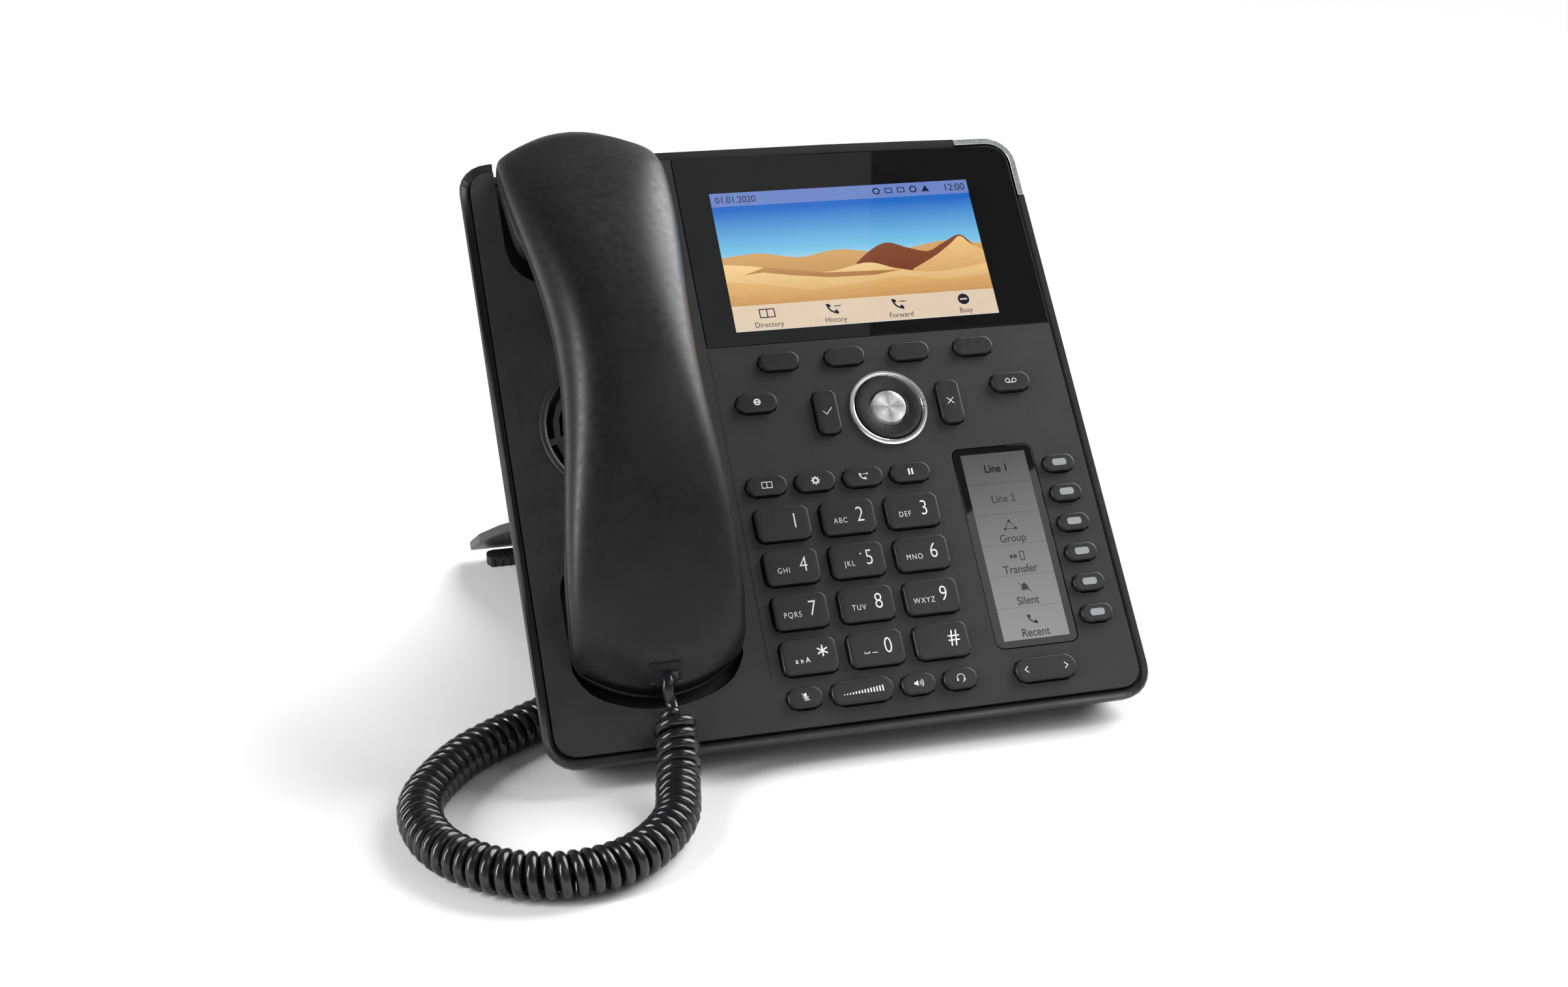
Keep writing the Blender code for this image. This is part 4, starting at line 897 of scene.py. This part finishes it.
# Each layer's name, its lowest and highest colour, the levels on the face where they are,
# its brightness, its ripple, and its top edge; front_slope is given by its whole outline
DUNES = [
    ("far_dunes", (0.50, 0.23, 0.06), (0.72, 0.42, 0.16), (-0.016, 0.003), 0.9, 0.25,
     [(-HALF_W, 1.6), (-34, 2.6), (-20, 0.2), (-6, 2.2), (8, 0.4), (20, 1.0), (34, 3.0),
      (HALF_W, 1.0)]),
    ("shadow_dune", (0.16, 0.04, 0.02), (0.30, 0.09, 0.04), (-0.016, 0.006), 0.8, 0.3,
     [(0, -3.5), (7, 1.6), (13, 3.6), (20, 1.0), (27, -0.8), (33, 2.0), (40, 5.0), (44, 1.0),
      (HALF_W, -3.0)]),
    ("right_dune", (0.55, 0.27, 0.08), (0.90, 0.58, 0.24), (-0.018, 0.005), 0.95, 0.2,
     [(20, -7.5), (29, -3.0), (36, 1.6), (40, 4.4), (43, 1.4), (HALF_W, -1.8)]),
    ("front_dune", (0.62, 0.33, 0.10), (0.95, 0.66, 0.30), (-0.019, -0.001), 0.95, 0.25,
     [(-HALF_W, -1.0), (-36, -2.6), (-24, -5.6), (-10, -6.2), (4, -3.8), (14, -6.8),
      (26, -9.0), (38, -8.4), (HALF_W, -7.0)]),
    ("front_slope", (0.42, 0.20, 0.07), (0.60, 0.32, 0.12), (-0.009, -0.002), 0.9, 0.2,
     [(-41, -5.6), (-33, -3.0), (-26, -4.2), (-12, -6.6), (2, -7.0), (16, -7.4), (6, -8.8),
      (-10, -8.6), (-24, -6.8), (-34, -5.0)]),
    ("near_dune", (0.52, 0.24, 0.07), (0.80, 0.48, 0.18), (-0.020, -0.008), 0.95, 0.3,
     [(-HALF_W, -8.0), (-34, -9.6), (-18, -12.6), (0, -11.4), (16, -10.0), (32, -12.2),
      (HALF_W, -11.0)]),
]


def panel(name, box, level, material, middle=(0.0, 0.0)):
    art = Sketch(*middle)
    art.box(*box)
    art.done(name, level, material)


def hill(points):
    """An outline whose top edge runs smoothly through the points and whose foot is level."""
    top = smooth_path([(x, y, 0) for x, y in points], HILL_STEP)
    ends = [(points[0][0], HILL_FOOT), (points[-1][0], HILL_FOOT)]
    return ends + [(p.x, p.y) for p in reversed(top)]


def make_colour_screen():
    """The picture as flat layers, each over the last, then the two bars and their words."""
    panel("screen_sky", (-HALF_W, -HALF_H, HALF_W, HALF_H), ART_LEVEL,
          lit_gradient("screen_sky", SKY, -0.006, 0.020, 0.9))
    for i, (name, low, high, levels, strength, ripple, points) in enumerate(DUNES, 1):
        art = Sketch()
        art.fill(points if name == "front_slope" else hill(points))
        tones = lit_gradient("screen_" + name, [(0.0, low), (1.0, high)], *levels, strength, ripple)
        art.done("screen_" + name, ART_LEVEL + i * ART_STEP, tones)
    level = ART_LEVEL + (len(DUNES) + 1) * ART_STEP
    panel("screen_status_bar", (-HALF_W, BAR_TOP, HALF_W, HALF_H), level,
          lit("status_bar", (0.20, 0.30, 0.72), 0.8))
    soft = lit("soft_bar", (0.90, 0.72, 0.54), 0.85)
    panel("screen_soft_bar", (-HALF_W, -HALF_H, HALF_W, BAR_LOW), level, soft)
    dark = lit("screen_ink", (0.02, 0.03, 0.07), 0.5, variation=0.3)
    words = Sketch()
    middle = (BAR_TOP + HALF_H) / 2
    words.text("01.01.2020", 2.5, -HALF_W + 1.6, middle, "LEFT", 0.92)
    words.text("12:00", 2.8, HALF_W - 1.2, middle, "RIGHT", 0.92)
    for k in range(5):
        x = 13.0 + 4.6 * k
        if k in (0, 3):
            words.ring(x, middle, 1.15, 0.5)
        elif k == 4:
            words.fill([(x - 1.5, middle - 1.2), (x + 1.5, middle - 1.2), (x, middle + 1.4)])
        else:
            words.line([(x - 1.2, middle - 0.9), (x + 1.2, middle - 0.9), (x + 1.2, middle + 0.9),
                        (x - 1.2, middle + 0.9)], 0.35, True)
    for k, label in enumerate(("Directory", "History", "Forward", "Busy")):
        x = -HALF_W + SCREEN_W * (k + 0.5) / 4
        words.text(label, 2.0, x, -HALF_H + 2.0, squeeze=0.9)
        icon = -HALF_H + 6.2
        if k == 0:
            for side in (-1, 1):
                words.line([(x, icon - 1.5), (x + side * 2.6, icon - 1.5),
                            (x + side * 2.6, icon + 1.6), (x, icon + 1.6)], 0.4)
            words.line([(x, icon - 1.5), (x, icon + 1.6)], 0.4)
        elif k in (1, 2):
            draw_phone(words, 1.5, x - 0.4, icon)
            words.line([(x + 0.4, icon + 0.9), (x + 2.6, icon + 0.9)], 0.35)
        else:
            words.disc(x, icon, 2.1)
    words.done("screen_words", level + ART_STEP, dark)
    x = -HALF_W + SCREEN_W * 3.5 / 4
    panel("screen_busy_dash", (x - 1.3, -HALF_H + 5.9, x + 1.3, -HALF_H + 6.5),
          level + 2 * ART_STEP, soft)


LINE_ART_W = 23.1
LINE_ART_H = 66.7
DASHES = 30


def make_line_screen():
    x, y = face_place("line_window")[:2]
    half_w, half_h = LINE_ART_W / 2, LINE_ART_H / 2
    stops = [(0.0, (0.30, 0.30, 0.30)), (1.0, (0.10, 0.10, 0.10))]
    grey = lit_gradient("line_panel", stops, y - half_h * MM, y + half_h * MM, 0.85, gloss=0.15)
    panel("line_panel", (-half_w, -half_h, half_w, half_h), ART_LEVEL, grey, (x, y))
    ink = lit("line_ink", (0.008, 0.008, 0.008), 0.4, variation=0.3)
    art = Sketch(x, y)
    row = LINE_ART_H / 6
    for k, label in enumerate(("Line 1", "Line 2", "Group", "Transfer", "Silent", "Recent")):
        low = half_h - row * (k + 1)
        art.text(label, 2.8, 0.0, low + (row / 2 if k < 2 else 2.3), squeeze=0.88, weight=0.012)
        for d in range(DASHES):
            dx = -half_w + 0.6 + d * (LINE_ART_W - 1.2) / (DASHES - 1)
            art.box(dx - 0.16, low - 0.09, dx + 0.16, low + 0.09)
        icon = low + 6.8
        if k == 2:
            corners = [(-1.9, icon - 1.2), (1.9, icon - 1.2), (0, icon + 1.6)]
            art.line(corners, 0.25, True)
            for cx, cy in corners:
                art.disc(cx, cy, 0.55)
        elif k == 3:
            art.fill([(-2.6, icon - 1.0), (-1.2, icon), (-2.6, icon + 1.0)])
            art.fill([(-1.2, icon - 1.0), (0.2, icon), (-1.2, icon + 1.0)])
            art.line([(1.0, icon - 1.5), (2.4, icon - 1.5), (2.4, icon + 1.5),
                      (1.0, icon + 1.5)], 0.3, True)
        elif k == 4:
            art.fill([(-1.4, icon - 0.9), (1.4, icon - 0.9), (0.9, icon + 0.9), (0, icon + 1.7),
                      (-0.9, icon + 0.9)])
            art.line([(-2.0, icon + 1.7), (2.0, icon - 1.6)], 0.25)
        elif k == 5:
            draw_phone(art, 1.2, 0.0, icon)
    art.done("line_words", ART_LEVEL + ART_STEP, ink)


# --- Body, stand and handset ---

GRILLE_X = -94.0 * MM
GRILLE_Y = -57.5 * MM


def make_body():
    refined("front_cover", HOUSING, 0.35 * MM)
    refined("rear_housing", RIM, 0.45 * MM)
    refined("display_window", WINDOW, 0.12 * MM)
    refined("line_window", WINDOW, 0.2 * MM)
    refined("foot_stand", RIM, 0.5 * MM)
    refined("status_lamp_lens", LAMP, 0.35 * MM)
    refined("jack_block", INNER, 0.15 * MM)
    ring = [(25.0 * MM, 0.0), (24.8 * MM, 0.25 * MM), (24.2 * MM, 0.4 * MM), (23.4 * MM, 0.35 * MM),
            (22.9 * MM, 0.0)]
    piece("grille_rim", revolve("grille_rim", ring, GRILLE_X, GRILLE_Y), RIM)
    cloth = [(23.5 * MM, -3.1 * MM), (0.05 * MM, -3.1 * MM)]
    piece("grille_cloth", revolve("grille_cloth", cloth, GRILLE_X, GRILLE_Y), INNER)
    make_seam_line()
    make_back_details()
    make_pad_ribs()


BACK_LEVEL = -27.05 * MM
HUMP_LEVEL = -41.06 * MM
SLOTS = 18
SLOT_STEP = 5.2
SLOT_SIZE = (1.9 * MM, 22.0 * MM)
SCREWS = {"upper_left": (-106.0, 18.0), "upper_right": (46.0, 18.0),
          "lower_left": (-106.0, -138.0), "lower_right": (42.0, -138.0)}
# The black disc round each screw is painted shade standing for its recess
SCREW_WELL_SHADE = [(3.4, 0.0), (0.05, 0.0)]
SCREW_HEAD = [(2.3, 0.0), (2.3, -0.45), (1.9, -0.75), (0.05, -0.85)]


def make_back_details():
    """Cooling slots on the hump and the screws of the rear housing, seen from behind; the slots and
    the recess round each screw are flat black shapes: painted shade.
    """
    # The slots are flat black shapes: painted shade in place of the openings
    slots = bmesh.new()
    for k in range(SLOTS):
        outline = rounded((SLOT_STEP * k - 72.0) * MM, -6.0 * MM, *SLOT_SIZE, 0.9 * MM, 4)
        slots.faces.new([slots.verts.new((px, py, HUMP_LEVEL)) for px, py in outline][::-1])
    piece("hump_slot_shade", to_mesh("hump_slot_shade", slots), INNER)
    for name, (x, y) in SCREWS.items():
        for part, profile, material in (("screw_well_shade", SCREW_WELL_SHADE, INNER),
                                        ("screw_head", SCREW_HEAD, SCREW)):
            shape = revolve(part, [(r * MM, BACK_LEVEL + w * MM) for r, w in profile],
                            x * MM, y * MM, 32)
            piece("%s_%s" % (part, name), shape, material)


def make_seam_line():
    """The fine groove between the handset side and the keypad side of the cover."""
    low = face_box("front_cover")[0] / MM
    glass = face_box("display_window")[0] / MM
    panel("cover_groove", (glass.x - 0.28, low.y + 17.8, glass.x + 0.28, glass.y),
          0.02 * MM, INNER)


RIBS = 60


def make_pad_ribs():
    low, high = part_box("stand_pad")
    shape = bmesh.new()
    for i in range(RIBS):
        x = low.x + 1.5 * MM + (high.x - low.x - 3 * MM) * i / (RIBS - 1)
        place = Matrix.Translation((x, low.y - 0.1 * MM, (low.z + high.z) / 2))
        bmesh.ops.create_cube(shape, size=1.0, matrix=place @ Matrix.Diagonal(
            (1.3 * MM, 0.7 * MM, (high.z - low.z) * 0.8, 1)))
    piece("stand_pad_ribs", to_mesh("stand_pad_ribs", shape), RUBBER,
          place=IN_WORLD)
    paint(frame["nodes"]["stand_pad"].data, RUBBER)


# The handset's rows are levels over its length, as in the CAD, at a finer spacing
HANDSET_MID = -47.0 * MM
HANDSET_HALF = 22.9 * MM
HANDSET_WAIST = 3.0 * MM
WAIST_REACH = 80.0 * MM
HANDSET_WALL = 2.0 * MM
SECTION_STEPS = 36
SECTION_POWER = 2 / 3
SEAM_GAP = 0.12 * MM
LOW_END = -140.0 * MM
HIGH_END = 40.6 * MM


def handset_top(y):
    return 43.5 * MM - 4.0 * (y - HANDSET_MID) ** 2


def handset_seam(y):
    return 31.0 * MM - 3.1 * (y - HANDSET_MID) ** 2


def handset_half(y):
    reach = min(abs(y - HANDSET_MID), WAIST_REACH)
    return HANDSET_HALF - HANDSET_WAIST * math.cos(math.pi * reach / WAIST_REACH)


def eased(value, start, end):
    t = min(max((value - start) / (end - start), 0.0), 1.0)
    return t * t * (3 - 2 * t)


def handset_rows():
    """Rows along the handset as (side y, bow, half width, top level, seam level)."""
    low, high = LOW_END, HIGH_END
    full = handset_half(low)
    crease = low + 7 * MM
    tip = handset_seam(low - 6 * MM)
    lip = (handset_top(low + 3 * MM) + tip) / 2
    rows = [(low, -9 * MM, full - 3 * MM, tip, tip),
            (low + 1.1 * MM, -7.9 * MM, full - 1.7 * MM, tip + (lip - tip) * 0.6,
             handset_seam(low - 4.5 * MM)),
            (low + 2.6 * MM, -6.8 * MM, full - 0.9 * MM, lip, handset_seam(low - 3 * MM)),
            (low + 4.8 * MM, -5.2 * MM, full - 0.3 * MM,
             lip + (handset_top(low + 5 * MM) - lip) * 0.58, handset_seam(low)),
            (crease, -3.7 * MM, full, handset_top(low + 5 * MM), handset_seam(low + 3 * MM))]
    start, stop, count = low + 16 * MM, high - 10.6 * MM, 60
    for i in range(count):
        y = start + (stop - start) * i / (count - 1)
        rows.append((y, 0.0, handset_half(y), handset_top(y), handset_seam(y)))
    brow, crown = high - 2.6 * MM, high + 1.4 * MM
    end = handset_seam(high + 5.4 * MM)
    rows += [(high - 4.6 * MM, 4 * MM, full - 0.3 * MM, handset_top(brow) - 0.8 * MM,
              handset_seam(brow)),
             (high - 2.7 * MM, 5.9 * MM, full - 0.7 * MM, handset_top(brow + 2 * MM) - 1.7 * MM,
              handset_seam(brow + 2 * MM)),
             (high - 1.2 * MM, 7.4 * MM, full - 1.4 * MM, handset_top(crown) - 3.4 * MM,
              handset_seam(crown + 1 * MM)),
             (high - 0.3 * MM, 8.3 * MM, full - 2.4 * MM,
              (handset_top(crown) - 3.4 * MM + end) / 2, handset_seam(crown + 2.6 * MM)),
             (high, 8.6 * MM, full - 3.4 * MM, end, end)]
    return rows


def handset_bottom(y, seam):
    handle = seam - 7.5 * MM
    ear = eased(y, HIGH_END - 43.6 * MM, HIGH_END - 31.6 * MM)
    mouth = eased(y, LOW_END + 39 * MM, LOW_END + 27 * MM)
    return handle + (-7.0 * MM - handle) * max(ear, mouth)


def handset_section(row, sign):
    """Half of the handset's section, above the seam for sign 1 and below it for -1."""
    y, bow, half, top, seam = row
    reach = top - seam if sign > 0 else seam - handset_bottom(y, seam)
    if top - seam < 0.1 * MM:
        reach = 0.0
    points = []
    for i in range(SECTION_STEPS + 1):
        t = math.pi * i / SECTION_STEPS
        across = -math.copysign(abs(math.cos(t)) ** SECTION_POWER, math.cos(t))
        rise = abs(math.sin(t)) ** SECTION_POWER
        points.append((HANDSET_X + half * across,
                       y + bow * (1 - across * across), seam + sign * (SEAM_GAP + reach * rise)))
    return points


SOCKET_Y = -143.9 * MM
SOCKET_LEVEL = 6.2 * MM
SOCKET_TURN = math.radians(40.8)


def block(name, place, low, high, material):
    """A box on the handset between two corners given in millimetres in its own frame."""
    shape = bmesh.new()
    centre = [(a + b) / 2 * MM for a, b in zip(low, high)]
    size = [(b - a) * MM for a, b in zip(low, high)]
    bmesh.ops.create_cube(shape, size=1.0,
                          matrix=Matrix.Translation(centre) @ Matrix.Diagonal((*size, 1)))
    piece(name, to_mesh(name, shape), material, "handset", place)


outer_low, outer_high = face_box("handset_outer")
HANDSET_X = (outer_low.x + outer_high.x) / 2


def make_handset():
    for node, sign in (("handset_outer", 1), ("handset_inner", -1)):
        rows = [handset_section(row, sign) for row in handset_rows()]
        data = loft(node + "_shell", rows, closed=False, smooth_angle=60)
        shape = bmesh.new()
        shape.from_mesh(data)
        if sign > 0:
            bmesh.ops.reverse_faces(shape, faces=shape.faces)
        bmesh.ops.remove_doubles(shape, verts=shape.verts, dist=WELD)
        data = to_mesh(node + "_shell", shape, 60)
        data.transform(FACE)
        obj = piece(node + "_shell", data, HANDSET, "handset", IN_WORLD, (node,))
        wall = obj.modifiers.new("wall", "SOLIDIFY")
        wall.thickness = HANDSET_WALL
        wall.offset = -1
    paint(frame["nodes"]["handset_plug"].data, PLUG)
    place = (FACE @ Matrix.Translation((HANDSET_X, SOCKET_Y, SOCKET_LEVEL))
             @ Matrix.Rotation(-SOCKET_TURN, 4, "X"))
    block("socket_frame", place, (-4.8, -2.9, -2.4), (4.8, 1.0, 3.8), INNER)
    block("socket_plug_nose", place, (-3.5, -3.7, -3.6), (3.5, 1.0, 1.2), PLUG)
    for side in (-1, 1):
        ends = sorted((side * 3.7, side * 4.9))
        block("socket_latch_%s" % ("left" if side < 0 else "right"), place,
              (ends[0], -3.2, -2.9), (ends[1], 0.6, -2.4), SOCKET_EDGE)


def finish_cad():
    """Gives each CAD node that still shows a procedural material."""
    finishes = {"main_display": INNER, "line_display": INNER, "main_board": BOARD,
                "keypad_mat": SILICONE, "loudspeaker": INNER, "receiver": INNER,
                "nav_fulcrum": INNER, "base_plug": PLUG}
    for node, material in finishes.items():
        paint(frame["nodes"][node].data, material)


make_camera()
make_stage()
make_world()
make_lights()
make_card()
make_cord()
make_body()
make_handset()
make_keys()
make_navigation()
make_colour_screen()
make_line_screen()
finish_cad()
